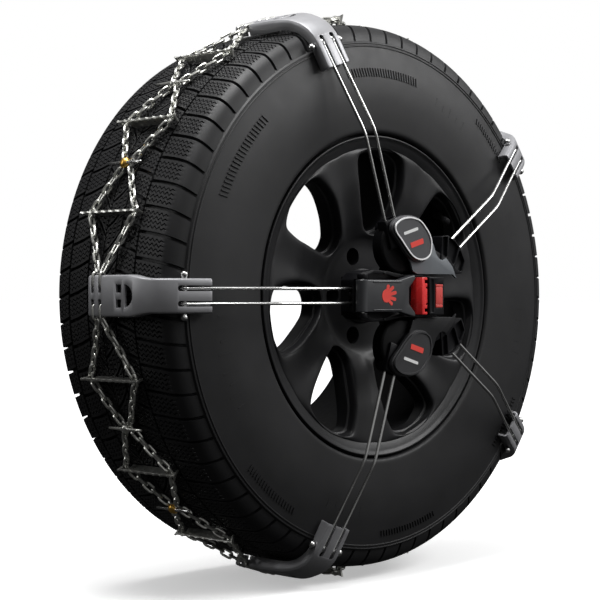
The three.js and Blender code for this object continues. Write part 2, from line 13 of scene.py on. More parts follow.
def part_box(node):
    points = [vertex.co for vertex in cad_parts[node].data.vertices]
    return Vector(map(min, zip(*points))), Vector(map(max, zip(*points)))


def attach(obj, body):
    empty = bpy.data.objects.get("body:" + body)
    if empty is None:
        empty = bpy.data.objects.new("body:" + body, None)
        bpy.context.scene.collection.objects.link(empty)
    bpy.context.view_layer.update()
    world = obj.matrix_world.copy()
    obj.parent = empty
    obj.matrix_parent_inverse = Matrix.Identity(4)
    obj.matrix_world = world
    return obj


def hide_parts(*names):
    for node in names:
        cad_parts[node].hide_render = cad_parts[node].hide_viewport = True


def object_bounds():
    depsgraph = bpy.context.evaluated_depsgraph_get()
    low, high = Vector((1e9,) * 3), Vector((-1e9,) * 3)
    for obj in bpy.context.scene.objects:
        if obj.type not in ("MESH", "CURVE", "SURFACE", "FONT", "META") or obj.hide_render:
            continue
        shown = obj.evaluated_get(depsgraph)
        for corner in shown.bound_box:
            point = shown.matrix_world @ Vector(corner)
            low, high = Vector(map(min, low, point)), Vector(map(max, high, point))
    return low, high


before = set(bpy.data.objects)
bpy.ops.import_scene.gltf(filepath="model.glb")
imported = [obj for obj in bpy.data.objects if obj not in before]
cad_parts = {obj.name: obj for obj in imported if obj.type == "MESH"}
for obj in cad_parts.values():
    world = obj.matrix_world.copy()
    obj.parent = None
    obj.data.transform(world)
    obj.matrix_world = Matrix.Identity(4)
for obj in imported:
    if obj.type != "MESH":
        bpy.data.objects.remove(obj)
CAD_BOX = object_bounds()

MM = 0.001
TURN = 2 * math.pi
WHEEL = "wheel_and_chain"


# ---- places, taken from the frame

def low_corner(node):
    """The lowest corner of a CAD node's box, in millimetres."""
    return [round(c / MM, 2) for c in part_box(node)[0]]


def high_corner(node):
    """The highest corner of a CAD node's box, in millimetres."""
    return [round(c / MM, 2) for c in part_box(node)[1]]


def middle_of(node):
    """The middle of a CAD node's box, in millimetres."""
    return [round((a + b) / 2 / MM, 2) for a, b in zip(*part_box(node))]


# tyre
TYRE_R = high_corner("tyre")[2]
PITCHES = 70
GROOVE_DEPTH = 7.5
GROOVE_SHARE = 0.055            # half of a cross groove's width, as a share of a pitch
GROOVE_WALL = 0.012             # how far a groove's wall leans, as a share of a pitch
SIPES = 4
SIPE_DEPTH = 5.5
SIPE_SHARE = 0.031
WAVE = 7.6                      # length of one wave of a sipe
WAVE_SHARE = 0.056
PLAIN_STEP = 3.6                # spacing of mesh lines where a rib has no sipes
RIB_FOOT = 3                    # how far a rib reaches below its grooves
TREAD_PHASE = -0.22
# wheel
SPOKES = 7
WINDOW_PHASE = 36.4
WINDOW_OUTER_R = 188
WINDOW_INNER_R = 87
WINDOW_LEAN = 5.5               # degrees that a window's inner end is turned by
BORE_R = 32.5
BOLTS = 5
BOLT_CIRCLE_R = 54
# chain
ARMS = 5
ARM_STEP = 360 / ARMS
FIRST_ARM = 180
BLADE_OFFSETS = (16, 36, 56)
BRASS_OFFSET = 26
PLAIN_OFFSET = 46
NET_Y = middle_of("grip_blade_1")[1]
NET_SPREAD = 43
BLADE_HALF_LENGTH = high_corner("grip_blade_1")[1] - NET_Y
STRAND_R = 362.6
WIRE_R = 1.75
LINK_WIDTH = 11.6
LINK_LENGTH_MOST = 21.5
CROSS_BAR_LENGTH = 64
# arms; the first arm lies along -X
PLATE_R = -low_corner("arm_plate_1")[0]
PLATE_FOOT_Y = low_corner("arm_plate_1")[1]
PIN_R = -middle_of("arm_pin_1")[0]
PIN_Y = middle_of("arm_pin_1")[1]
PIN_HALF_LENGTH = 29.2
PIN_SHANK_R = 3.3
ROD_R = 2.0
ROD_HALF_SPACING = high_corner("arm_rod_1")[2] - ROD_R
ROD_PLANE_Y = -164.5
ROD_POST_R = 95                 # where the anchor post stands that a rod's inner bend goes round
# mechanism
LEVER_X, LEVER_Y, _ = middle_of("lever_pin")
LEVER_FRONT_Y = low_corner("tension_lever")[1]
SPINE_BACK_Y = high_corner("spine_housing")[1]
HOUSING_BACK_Y = high_corner("upper_side_housing")[1]
HOUSING_FRONT_Y = low_corner("upper_side_housing")[1]
WING_FRONT_Y = low_corner("upper_wing")[1]
BADGE_FRONT_Y = low_corner("upper_badge")[1]


# ---- shapes: (points, faces)

def merge(*shapes):
    """Several shapes as one."""
    points, faces = [], []
    for more_points, more_faces in shapes:
        start = len(points)
        points.extend(more_points)
        faces.extend([tuple(i + start for i in face) for face in more_faces])
    return points, faces


def moved(shape, matrix):
    """A shape after a transform."""
    return [matrix @ Vector(p) for p in shape[0]], shape[1]


def turned(shape, degrees):
    """A shape turned about the axle, from +X towards +Z."""
    return moved(shape, Matrix.Rotation(-math.radians(degrees), 4, "Y"))


def mirrored(shape, axis):
    """A shape mirrored along an axis: 0, 1 or 2 for X, Y or Z."""
    signs = [-1 if i == axis else 1 for i in range(3)]
    points = [Vector([c * sign for c, sign in zip(p, signs)]) for p in shape[0]]
    return points, [tuple(reversed(face)) for face in shape[1]]


def on_wheel(degrees, r, y):
    """The point at an angle, a radius and a place along the axle."""
    angle = math.radians(degrees)
    return Vector((r * math.cos(angle), y, r * math.sin(angle)))


def grid(rows, wrap_rows=True, wrap_columns=True, caps=False):
    """A quad grid from rows of points, joined round in either direction."""
    count = len(rows[0])
    points = [Vector(p) for row in rows for p in row]
    faces = []
    for i in range(len(rows) if wrap_rows else len(rows) - 1):
        a, b = i * count, (i + 1) % len(rows) * count
        for j in range(count if wrap_columns else count - 1):
            k = (j + 1) % count
            faces.append((a + j, a + k, b + k, b + j))
    if caps:
        faces.append(tuple(range(count)))
        faces.append(tuple(range(len(rows) * count - count, len(rows) * count)))
    return points, faces


def lathe(profile, segments):
    """A ring turned about the axle from a closed [radius, y] outline."""
    return grid([[on_wheel(360 * i / segments, r, y) for r, y in profile] for i in range(segments)])


def circle(centre, across, up, radius, sides):
    """Evenly spaced points round a centre, in the plane of two unit directions."""
    return [centre + radius * (across * math.cos(TURN * j / sides) + up * math.sin(TURN * j / sides))
            for j in range(sides)]


def sweep(path, radii, sides):
    """A round bar along a path, with a radius for each of its points."""
    path = [Vector(p) for p in path]
    last = len(path) - 1
    tangents = [(path[min(i + 1, last)] - path[max(i - 1, 0)]).normalized() for i in range(len(path))]
    side = tangents[0].orthogonal().normalized()
    rows = []
    for point, tangent, radius in zip(path, tangents, radii):
        side = (side - tangent * side.dot(tangent)).normalized()
        rows.append(circle(point, side, tangent.cross(side), radius, sides))
    return grid(rows, wrap_rows=False, caps=True)


def turned_bar(start, end, profile, sides):
    """A solid of revolution between two points, from [fraction along, radius] pairs."""
    start, end = Vector(start), Vector(end)
    return sweep([start.lerp(end, f) for f, _ in profile], [r for _, r in profile], sides)


def round_bar(start, end, radius, sides):
    """A plain round bar between two points."""
    return turned_bar(start, end, ((0, radius), (1, radius)), sides)


def extruded(outline, axis, start, end):
    """A flat outline drawn out along an axis; its points give the other two coordinates, in order."""
    rows = [[Vector((*point[:axis], place, *point[axis:])) for point in outline] for place in (start, end)]
    return grid(rows, wrap_rows=False, caps=True)


def prism(outline, y_back, y_front):
    """An outline in XZ extruded along Y."""
    return extruded(outline, 1, y_back, y_front)


def block(low, high):
    """A box between two corners."""
    outline = [(low[0], low[2]), (high[0], low[2]), (high[0], high[2]), (low[0], high[2])]
    return prism(outline, low[1], high[1])


def rounded(points, radius, steps=5):
    """An outline with its corners filleted; radius is one number, or a list with one for each corner."""
    points = [Vector(p) for p in points]
    radii = radius if isinstance(radius, list) else [radius] * len(points)
    result = []
    for i, corner in enumerate(points):
        back = points[i - 1] - corner
        on = points[(i + 1) % len(points)] - corner
        half = back.angle(on) / 2
        reach = min(radii[i] / math.tan(half), 0.48 * back.length, 0.48 * on.length)
        if radii[i] == 0 or half > math.radians(88):
            result.append(corner)
            continue
        start, end = corner + back.normalized() * reach, corner + on.normalized() * reach
        for k in range(steps + 1):
            t = k / steps
            result.append(start * (1 - t) ** 2 + corner * (2 * t * (1 - t)) + end * t * t)
    return [tuple(p) for p in result]


def smooth_line(points, steps, closed=False):
    """A Catmull-Rom line through points."""
    points = [Vector(p) for p in points]
    count = len(points)
    result = []
    for i in range(count if closed else count - 1):
        p1, p2 = points[i], points[(i + 1) % count]
        p0 = points[i - 1] if closed or i else p1 * 2 - p2
        p3 = points[(i + 2) % count] if closed or i + 2 < count else p2 * 2 - p1
        for k in range(steps):
            t = k / steps
            result.append(0.5 * (p1 * 2 + (p2 - p0) * t + (p0 * 2 - p1 * 5 + p2 * 4 - p3) * t * t
                                 + (p1 * 3 - p0 - p2 * 3 + p3) * t ** 3))
    if not closed:
        result.append(points[-1])
    return result


def ramp(value, table):
    """Straight-line interpolation in (value, result) pairs."""
    if value <= table[0][0]:
        return table[0][1]
    for (v0, r0), (v1, r1) in zip(table, table[1:]):
        if value <= v1:
            return r0 + (r1 - r0) * (value - v0) / (v1 - v0)
    return table[-1][1]


def mesh_of(shape, name="work", scale=1.0, weld=0.0):
    """A mesh with its normals outwards; points closer than weld are joined first."""
    mesh = bpy.data.meshes.new(name)
    mesh.from_pydata([Vector(p) * scale for p in shape[0]], [], shape[1])
    work = bmesh.new()
    work.from_mesh(mesh)
    if weld:
        bmesh.ops.remove_doubles(work, verts=work.verts, dist=weld)
    bmesh.ops.recalc_face_normals(work, faces=work.faces)
    work.to_mesh(mesh)
    work.free()
    mesh.update()
    return mesh


def linked(data, name):
    """A new object in the scene, made of a mesh, a light or a camera."""
    obj = bpy.data.objects.new(name, data)
    bpy.context.scene.collection.objects.link(obj)
    return obj


def refined(shape, cutters=(), bevel=0.0, segments=2, angle=32, subdivide=0, weld=0.0):
    """A shape with others cut from it, then its sharp edges rounded or its surface subdivided."""
    main = linked(mesh_of(shape, weld=weld), "work")
    helpers = []
    if subdivide:
        main.modifiers.new("subdivide", "SUBSURF").levels = subdivide
    for cutter in cutters:
        tool = linked(mesh_of(cutter), "tool")
        helpers.append(tool)
        cut = main.modifiers.new("cut", "BOOLEAN")
        cut.operation = "DIFFERENCE"
        cut.solver = "EXACT"
        cut.object = tool
    if bevel:
        edge = main.modifiers.new("bevel", "BEVEL")
        edge.width = bevel
        edge.segments = segments
        edge.limit_method = "ANGLE"
        edge.angle_limit = math.radians(angle)
    mesh = bpy.data.meshes.new_from_object(main.evaluated_get(bpy.context.evaluated_depsgraph_get()))
    result = ([v.co.copy() for v in mesh.vertices], [tuple(p.vertices) for p in mesh.polygons])
    for helper in [main, *helpers]:
        bpy.data.objects.remove(helper)
    bpy.data.meshes.remove(mesh)
    return result


# ---- materials

def add_node(tree, kind, **inputs):
    """A new shader node with some of its inputs set; an underscore stands for a space in a name."""
    node = tree.nodes.new("ShaderNode" + kind)
    for name, value in inputs.items():
        node.inputs[name.replace("_", " ")].default_value = value
    return node


def finish(name, colour, roughness, metallic=0.0, variation=0.18, scale=60, rough_spread=0.08,
           bump=0.15, bump_scale=900, coat=0.0, specular=0.5):
    """A worked surface: noise varies its colour and roughness, and a finer noise raises its grain."""
    material = bpy.data.materials.new(name)
    material.use_nodes = True
    tree, links = material.node_tree, material.node_tree.links
    shader = tree.nodes["Principled BSDF"]
    shader.inputs["Metallic"].default_value = metallic
    shader.inputs["Coat Weight"].default_value = coat
    shader.inputs["Coat Roughness"].default_value = 0.12
    shader.inputs["Specular IOR Level"].default_value = specular
    place = add_node(tree, "TexCoord")

    def noise(noise_scale, detail):
        node = add_node(tree, "TexNoise", Scale=noise_scale, Detail=detail)
        links.new(place.outputs["Object"], node.inputs["Vector"])
        return node.outputs["Fac"]

    tone = add_node(tree, "ValToRGB")
    low, high = tone.color_ramp.elements
    low.position, high.position = 0.3, 0.7
    low.color = (*[c * (1 - variation) for c in colour], 1)
    high.color = (*[min(1, c * (1 + variation)) for c in colour], 1)
    links.new(noise(scale, 5), tone.inputs["Fac"])
    links.new(tone.outputs["Color"], shader.inputs["Base Color"])

    spread = add_node(tree, "MapRange", To_Min=roughness - rough_spread, To_Max=roughness + rough_spread)
    links.new(noise(scale * 2.3, 4), spread.inputs["Value"])
    links.new(spread.outputs["Result"], shader.inputs["Roughness"])

    relief = add_node(tree, "Bump", Strength=bump, Distance=0.0004)
    links.new(noise(bump_scale, 3), relief.inputs["Height"])
    links.new(relief.outputs["Normal"], shader.inputs["Normal"])
    return material


# The looks of the record's material slots, as (colour, roughness, what else is not as usual).
SLOT_LOOKS = {
    "tyre_rubber": ((0.012, 0.012, 0.0128), 0.5,
                    dict(variation=0.2, scale=22, bump=0.25, bump_scale=1300, specular=0.33)),
    "wheel_black": ((0.010, 0.010, 0.011), 0.42,
                    dict(variation=0.12, scale=30, bump=0.06, bump_scale=1500, coat=0.04, specular=0.32)),
    "cap_black": ((0.015, 0.015, 0.017), 0.45, dict(bump=0.12)),
    "valve_rubber": ((0.007, 0.007, 0.007), 0.6, dict(specular=0.2)),
    "plate_steel": ((0.30, 0.30, 0.312), 0.42,
                    dict(metallic=0.35, variation=0.07, scale=35, bump=0.05, bump_scale=700)),
    "bright_steel": ((0.66, 0.66, 0.65), 0.24,
                     dict(metallic=1, variation=0.08, scale=90, bump=0.04, bump_scale=1100)),
    "chain_steel": ((0.68, 0.68, 0.64), 0.3,
                    dict(metallic=0.9, variation=0.2, scale=140, bump=0.12, bump_scale=900)),
    "brass_finish": ((0.80, 0.47, 0.10), 0.3, dict(metallic=0.9, variation=0.15, scale=150)),
    "housing_black": ((0.005, 0.005, 0.006), 0.34, dict(variation=0.2, scale=90, bump=0.12, specular=0.15)),
    "wing_grey": ((0.15, 0.162, 0.175), 0.4, dict(variation=0.06, scale=60, bump=0.12)),
    "badge_grey": ((0.058, 0.058, 0.062), 0.45, dict(variation=0.08, bump=0.25, bump_scale=2200)),
    "lever_black": ((0.033, 0.034, 0.037), 0.36, dict(variation=0.1, bump=0.1)),
    "signal_red": ((0.72, 0.025, 0.025), 0.26, dict(variation=0.07, bump=0.04, coat=0.25)),
}
# Looks of surface details, and darker ones for what lies in shade in the photo.
EXTRA_LOOKS = {
    "rim_silver": ((0.90, 0.90, 0.90), 0.3, dict(metallic=0.1, variation=0.05, bump=0.04)),
    # a dark copy of the rim's silver, painting the shade on the lower cover's rim
    "rim_painted_shade": ((0.03, 0.03, 0.032), 0.42, dict(metallic=0.2, variation=0.05, bump=0.04)),
    "shaded_black": ((0.003, 0.003, 0.0034), 0.5, dict(variation=0.15, bump=0.1, specular=0.1)),
    "shaded_badge": ((0.030, 0.030, 0.032), 0.45,
                     dict(variation=0.08, bump=0.25, bump_scale=2200, specular=0.3)),
    "pale_red": ((0.60, 0.07, 0.06), 0.3, dict(variation=0.06, bump=0.04)),
    "shaded_grey": ((0.011, 0.011, 0.012), 0.45, dict(variation=0.08, scale=60, bump=0.12, specular=0.22)),
    "pale_print": ((0.75, 0.75, 0.74), 0.4, dict(variation=0.04, bump=0.05)),
    "red_print": ((0.74, 0.06, 0.045), 0.35, dict(variation=0.05, bump=0.05)),
}
MATERIALS = {name: finish(name, colour, roughness, **rest)
             for name, (colour, roughness, rest) in {**SLOT_LOOKS, **EXTRA_LOOKS}.items()}


def piece(name, shape, slot, replaces=(), body=WHEEL, look=None, sharp=34):
    """Makes a piece of the model from a shape in millimetres; look is its finish, if not the slot's."""
    mesh = mesh_of(shape, name, MM)
    mesh.polygons.foreach_set("use_smooth", [True] * len(mesh.polygons))
    mesh.set_sharp_from_angle(angle=math.radians(sharp))
    mesh.materials.append(MATERIALS[look or slot])
    obj = linked(mesh, name)
    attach(obj, body)
    if replaces:
        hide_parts(*replaces)
    return obj


# ---- tyre

# The tread's outer surface from the crown to the ridge circle, as (y, drop below the tyre's radius).
SHOULDER = ((0, 0), (15, 0), (58, 1.2), (80, 2.8), (96, 4.8), (103, 7.6), (108, 12), (111.6, 18),
            (113.8, 24), (115.4, 30))
# The sidewall from the bead to the shoulder, as (radius, distance from the wheel's middle plane).
SIDEWALL = ((222, 122.4), (240, 123.8), (262, 124.5), (284, 123.4), (304, 120.6), (318, 118.2))


def tread_line():
    """The shoulder line as (distance from the crown, |y|, radius)."""
    line = smooth_line([(y, TYRE_R - drop) for y, drop in SHOULDER], 6)
    result = [(0.0, line[0][0], line[0][1])]
    for before, point in zip(line, line[1:]):
        result.append((result[-1][0] + (point - before).length, point[0], point[1]))
    return result


TREAD = tread_line()
TREAD_REACH = TREAD[-1][0]
TREAD_Y = [(distance, y) for distance, y, _ in TREAD]
TREAD_R = [(distance, r) for distance, _, r in TREAD]
# The share of a cross groove's depth that is left, by distance from the crown.
GROOVE_FADE = ((100, 1.0), (TREAD_REACH, 0.35))


def on_tread(s, depth):
    """(y, radius) at a signed distance s from the crown, at a depth below the surface."""
    side = -1 if s < 0 else 1
    distance = min(abs(s), TREAD_REACH)
    y, r = ramp(distance, TREAD_Y), ramp(distance, TREAD_R)
    after, before = min(distance + 1, TREAD_REACH), distance - 1
    y2, r2 = ramp(after, TREAD_Y), ramp(after, TREAD_R)
    y1, r1 = ramp(before, TREAD_Y), ramp(before, TREAD_R)
    length = math.hypot(y2 - y1, r2 - r1) or 1
    normal_y, normal_r = -(r2 - r1) / length, (y2 - y1) / length
    return side * (y - normal_y * depth), r - normal_r * depth


def rib(s_low, s_high, slant, smooth_from=None, phase=0.0):
    """One rib of tread blocks all round, cut by cross grooves and by wavy sipes.

    slant is how far the cross lines lean over the rib, as a share of a pitch. Sipes fade out
    beyond smooth_from.
    """
    phase += TREAD_PHASE
    lines = [(-GROOVE_SHARE - GROOVE_WALL, 0, 0), (-GROOVE_SHARE, GROOVE_DEPTH, 0),
             (GROOVE_SHARE, GROOVE_DEPTH, 0), (GROOVE_SHARE + GROOVE_WALL, 0, 0)]
    for k in range(SIPES):
        f = GROOVE_SHARE + (1 - 2 * GROOVE_SHARE) * (k + 1) / (SIPES + 1)
        lines += [(f - SIPE_SHARE, 0, 1), (f, SIPE_DEPTH, 1), (f + SIPE_SHARE, 0, 1)]
    middle, width = (s_low + s_high) / 2, s_high - s_low
    distances, s = [], s_low
    while s < s_high:
        distances.append(s)
        s += WAVE / 4 if smooth_from is None or min(abs(s), abs(s + WAVE / 4)) < smooth_from else PLAIN_STEP
    distances.append(s_high)
    cells = []
    for i, s in enumerate(distances):
        fade = 1.0
        if smooth_from is not None:
            fade = max(0.0, min(1.0, (smooth_from - abs(s)) / 6))
        shoulder_fade = ramp(abs(s), GROOVE_FADE)
        lean = slant * ((s - middle) / width + 0.10 * math.cos(math.pi * (s - middle) / width))
        cells.append((s, fade, shoulder_fade, lean, WAVE_SHARE * (0, 1, 0, -1)[i % 4]))
    surfaces = {}

    def place(s, depth):
        key = (round(s, 3), round(depth, 3))
        if key not in surfaces:
            surfaces[key] = on_tread(s, depth)
        return surfaces[key]

    rows = []
    step = 360 / PITCHES
    for pitch in range(PITCHES):
        for f, depth, is_sipe in lines:
            row = []
            for s, fade, shoulder_fade, lean, ripple in cells:
                share = f + lean + phase + (ripple * fade if is_sipe else 0)
                d = depth * (fade if is_sipe else shoulder_fade)
                y, r = place(s, d)
                row.append(on_wheel((pitch + share) * step, r, y))
            for s, lean in ((s_high, cells[-1][3]), (s_low, cells[0][3])):
                y, r = place(s, GROOVE_DEPTH + RIB_FOOT)
                row.append(on_wheel((pitch + f + lean + phase) * step, r, y))
            rows.append(row)
    return grid(rows)


def carcass():
    """The tyre under its tread blocks, with its sidewalls and beads."""
    side = smooth_line([(211.2, -119.2), (214, -121.4)] + [(r, -y) for r, y in SIDEWALL], 4)
    ridge = [(321.4, -117.6), (322.2, -118.5), (323.2, -118.4), (324, -117.1), (325.4, -116.9),
             (326.2, -117.8), (327.2, -117.5), (328, -115.9)]
    floor = []
    for s in (TREAD_REACH - 6, TREAD_REACH - 12, 108, 100, 90, 70, 58, 30, 0):
        y, r = on_tread(-s, GROOVE_DEPTH * ramp(s, GROOVE_FADE))
        floor.append((r, y))
    front = [(203.4, -88), (203.4, -107.5), (208.6, -108.6), (210.2, -111), (210.6, -117.4)]
    front += [tuple(p) for p in side] + ridge + floor
    back = [(r, -y) for r, y in reversed(front[:-1])]
    inside = [(216, 104), (250, 115), (300, 112), (332, 92), (341, 60), (341, -60), (332, -92),
              (300, -112), (250, -115), (216, -104)]
    return lathe(front + back + inside, 240)


def sidewall_y(r):
    """Where the outer sidewall's surface lies along the axle."""
    return -ramp(r, SIDEWALL)


def tick(degrees, r_low, r_high, width, proud, lean=0.0):
    """A small raised bar on the sidewall; lean slides its outer end round by degrees."""
    half = math.degrees(width / 2 / ((r_low + r_high) / 2))
    rows = []
    for share in (0, 0.5, 1):
        r = r_low + (r_high - r_low) * share
        y = sidewall_y(r)
        middle = degrees + lean * share
        rows.append([on_wheel(middle - half, r, y + 1), on_wheel(middle - half * 0.8, r, y - proud),
                     on_wheel(middle + half * 0.8, r, y - proud), on_wheel(middle + half, r, y + 1)])
    return grid(rows, wrap_rows=False, caps=True)


# The hatched bands, as (first and last angle, inner and outer radius, degrees from tick to tick).
BANDS = ((133.5, 157.5, 291.5, 303, 1.08), (77, 103.5, 283, 294, 0.95), (317.5, 333, 303, 311, 0.95),
         (270, 290, 304, 312, 0.95), (38, 52, 302, 309, 0.95), (222, 240, 304, 312, 0.95))
# The groups of index ticks, as (middle angle, length).
TICK_GROUPS = ((188, 22), (205, 22), (350, 22), (18, 18), (255, 16), (62, 16))
TICK_R = 272


def sidewall_marks(side):
    """Hatched bands and plain index ticks moulded into a sidewall; side is -1 for the outer one."""
    marks = []
    for start, end, r_low, r_high, pitch in BANDS:
        for k in range(round((end - start) / pitch)):
            marks.append(tick(start + pitch * k, r_low, r_high, 2.3, 1.4, lean=0.35))
    for centre, size in TICK_GROUPS:
        for k in range(5):
            length = size * (0.55 if k % 2 else 0.8)
            marks.append(tick(centre + (k - 2) * 3.1, TICK_R, TICK_R + length, 2.2, 0.35))
    shape = merge(*marks)
    return shape if side < 0 else mirrored(shape, 1)


def build_tyre():
    ribs = [
        rib(-TREAD_REACH, -56.5, -0.42, smooth_from=100),
        rib(-53.5, -22, -0.30, phase=0.42),
        rib(-19.5, 6, 0.75, phase=0.2),
        rib(8, 33, -0.75, phase=0.55),
        rib(36, 73, 0.35, phase=0.05),
        rib(76.5, TREAD_REACH, 0.42, smooth_from=104, phase=0.3),
    ]
    piece("tyre_body", merge(carcass(), *ribs, sidewall_marks(-1), sidewall_marks(1)), "tyre_rubber",
          replaces=["tyre"], sharp=40)


# ---- wheel

# The disc's front and back surfaces, as (radius, y).
FACE_Y = ((32, -85), (66, -85), (74, -88.6), (82, -92.4), (100, -99.4), (145, -111.4), (185, -114.6),
          (194, -114.8))
BACK_Y = ((32, -55), (74, -55), (84, -58), (120, -70), (165, -81), (194, -84))
WINDOW_HALF_WIDTH = ((87, 18), (110, 26), (150, 37), (188, 46))     # as (radius, half width)
SECTOR_INNER_R, SECTOR_OUTER_R = 74, 193


def window_point(u, v):
    """A point on a window's edge, from a square's edge: u runs outwards and v round the wheel."""
    rounding = 0.62             # 0 keeps the square and 1 makes a circle of it
    scale = 1 / math.sqrt(1 - rounding / 2) ** 0.55
    outwards = u * math.sqrt(1 - v * v * rounding / 2) * scale
    sideways = v * math.sqrt(1 - u * u * rounding / 2) * scale
    r = (WINDOW_OUTER_R + WINDOW_INNER_R) / 2 + outwards * (WINDOW_OUTER_R - WINDOW_INNER_R) / 2
    half = ramp(r, WINDOW_HALF_WIDTH)
    degrees = math.degrees(half * sideways / r) - WINDOW_LEAN * ramp(r, ((82, 1.0), (184, 0.0)))
    return on_wheel(degrees, r, 0)


def sector():
    """One spoke-to-spoke sector of the wheel's disc round one window, centred on +X."""
    along, across = 9, 7
    inner, outer, half = SECTOR_INNER_R, SECTOR_OUTER_R, 180 / SPOKES
    edge = [(-1 + 2 * k / along, -1) for k in range(along)]
    edge += [(1, -1 + 2 * k / across) for k in range(across)]
    edge += [(1 - 2 * k / along, 1) for k in range(along)]
    edge += [(-1, 1 - 2 * k / across) for k in range(across)]
    window = [window_point(u, v) for u, v in edge]
    border = [on_wheel(half * v, inner + (outer - inner) * (u + 1) / 2, 0) for u, v in edge]
    centre = on_wheel(-1.5, 135, 0)

    def loop(points, surface, behind):
        """The points set at a distance behind the front or the back surface."""
        return [Vector((p[0], ramp(math.hypot(p[0], p[2]), surface) + behind, p[2])) for p in points]

    def blended(t):
        return [w.lerp(b, t) for w, b in zip(window, border)]

    def inset(millimetres):
        return [w + (centre - w).normalized() * millimetres for w in window]

    rows = [loop(blended(t), FACE_Y, behind) for t, behind in (
        (1, 1.6), (0.72, 1.2), (0.42, 0.2), (0.2, -0.4), (0.09, 0.1), (0.035, 1.1), (0, 3.4))]
    rows += [loop(inset(depth), FACE_Y, behind) for depth, behind in (
        (0.9, 7), (1.6, 10.5), (2.0, 11.6), (4.6, 12.2), (5.2, 13.6))]
    rows += [loop(inset(5.4), BACK_Y, -3), loop(inset(4.0), BACK_Y, 0)]
    rows += [loop(blended(t), BACK_Y, 0) for t in (0.2, 0.6, 1)]
    disc = grid(rows, wrap_rows=False)

    def arcs(line):
        """A strip over the sector, from its line of (radius, y)."""
        rows = [[on_wheel(half * (-1 + 2 * k / across), r, y) for k in range(across + 1)] for r, y in line]
        return grid(rows, wrap_rows=False, wrap_columns=False)

    hub = arcs(((inner, ramp(inner, FACE_Y) + 1.6), (67, -85.4), (60, -85), (45, -85), (34.5, -85),
                (BORE_R, -83.5), (BORE_R, -57), (34.5, -55), (50, -55), (66, -55),
                (inner, ramp(inner, BACK_Y))))
    rim = arcs([(outer, y) for y in (ramp(outer, FACE_Y) + 1.6, -105, -94, ramp(outer, BACK_Y))])
    return merge(disc, hub, rim)


def build_wheel():
    one = sector()
    sectors = merge(*[turned(one, WINDOW_PHASE + k * 360 / SPOKES) for k in range(SPOKES)])
    holes = [turned(turned_bar((BOLT_CIRCLE_R, -96, 0), (BOLT_CIRCLE_R, -48, 0),
                               ((0, 11.8), (0.24, 11.4), (0.7, 10.6), (0.71, 7.6), (1, 7.6)), 28),
                    FIRST_ARM + 360 / BOLTS * k) for k in range(BOLTS)]
    disc = refined(sectors, holes, subdivide=2, weld=0.05)
    piece("wheel_disc", disc, "wheel_black", replaces=["alloy_wheel"], sharp=38)

    flange = smooth_line([
        (190, -112.6), (194, -114.4), (198, -116), (202, -117.4), (204.8, -119.2), (206.4, -119.6),
        (207.4, -118.4), (207.4, -112.6), (205, -110), (202.6, -106)], 3)
    profile = [tuple(p) for p in flange] + [(202.6, -96), (196, -94), (190, -92)]
    piece("wheel_flange", lathe(profile, 168), "wheel_black", sharp=38)
    barrel = [(202.6, -97), (202.6, -84), (192, -70), (190, -66), (190, -32), (192, -28), (202.6, 10),
              (202.6, 108), (208.5, 113), (208.5, 118.5), (205, 118.8), (188, 117), (184.6, 112), (184.6, 20),
              (182, 8), (182, -74), (187, -88), (192, -93)]
    piece("wheel_barrel", lathe(barrel, 168), "wheel_black", look="shaded_black", sharp=38)

    cap = lathe([(0.01, -84), (30, -84), (30, -74), (31.9, -74), (31.9, -85.4), (36, -85.4), (36, -87),
                 (34.6, -88.6), (29, -89.9), (27, -89.4), (25, -90.2), (12, -91.2), (0.01, -91.4)], 72)
    piece("wheel_cap", cap, "cap_black", replaces=["centre_cap"])


VALVE_LEAN = 30                 # degrees from the axle


def valve_point(distance):
    """A point on the valve's axis, at a distance outwards from its seat in the barrel."""
    lean = math.radians(VALVE_LEAN)
    return on_wheel(WINDOW_PHASE, 190 - distance * math.sin(lean), -78 - distance * math.cos(lean))


def build_valve():
    stem = turned_bar(valve_point(-17), valve_point(40), (
        (0, 7.2), (0.02, 7.6), (0.1, 7.6), (0.12, 5.7), (0.44, 5.7), (0.5, 5.2), (0.54, 4.1), (0.76, 3.9),
        (0.82, 3.7), (0.83, 2.8), (0.99, 2.8), (1, 2.4)), 24)
    piece("valve_body", stem, "valve_rubber", replaces=["valve_stem"])
    start, end = valve_point(30.5), valve_point(43.6)
    axis = (end - start).normalized()
    side = axis.orthogonal().normalized()
    other = axis.cross(side)
    rows = []
    for along, radius, fluted in ((8.5, 3.3, 0), (0, 3.3, 0), (0, 4.4, 0), (0.8, 4.8, 1), (10.5, 4.6, 1),
                                  (12.3, 3.9, 0), (13.0, 2.2, 0), (13.1, 0.3, 0), (8.6, 0.3, 0)):
        row = []
        for j in range(48):
            r = radius - (0.35 if fluted and j % 4 < 2 else 0)
            angle = TURN * j / 48
            row.append(start + axis * along + r * (side * math.cos(angle) + other * math.sin(angle)))
        rows.append(row)
    piece("valve_cap_shell", grid(rows), "cap_black", replaces=["valve_cap"],
          body="valve_cap_body", look="shaded_grey")


# ---- tread net

def link(centre, along, wide, length, width):
    """An oval chain link: along and wide are the directions of its length and its width."""
    radius, steps, sides = WIRE_R, 5, 8
    along = along.normalized()
    wide = (wide - along * wide.dot(along)).normalized()
    flat = along.cross(wide)
    bend = width / 2 - radius
    straight = length / 2 - width / 2
    rows = []
    for half in (0, 1):
        sign = 1 - 2 * half
        for k in range(steps + 1):
            angle = math.pi * half + math.pi * (k / steps - 0.5)
            out = along * math.cos(angle) + wide * math.sin(angle)
            point = centre + along * (straight * sign) + out * bend
            rows.append(circle(point, out, flat, radius, sides))
    return grid(rows)


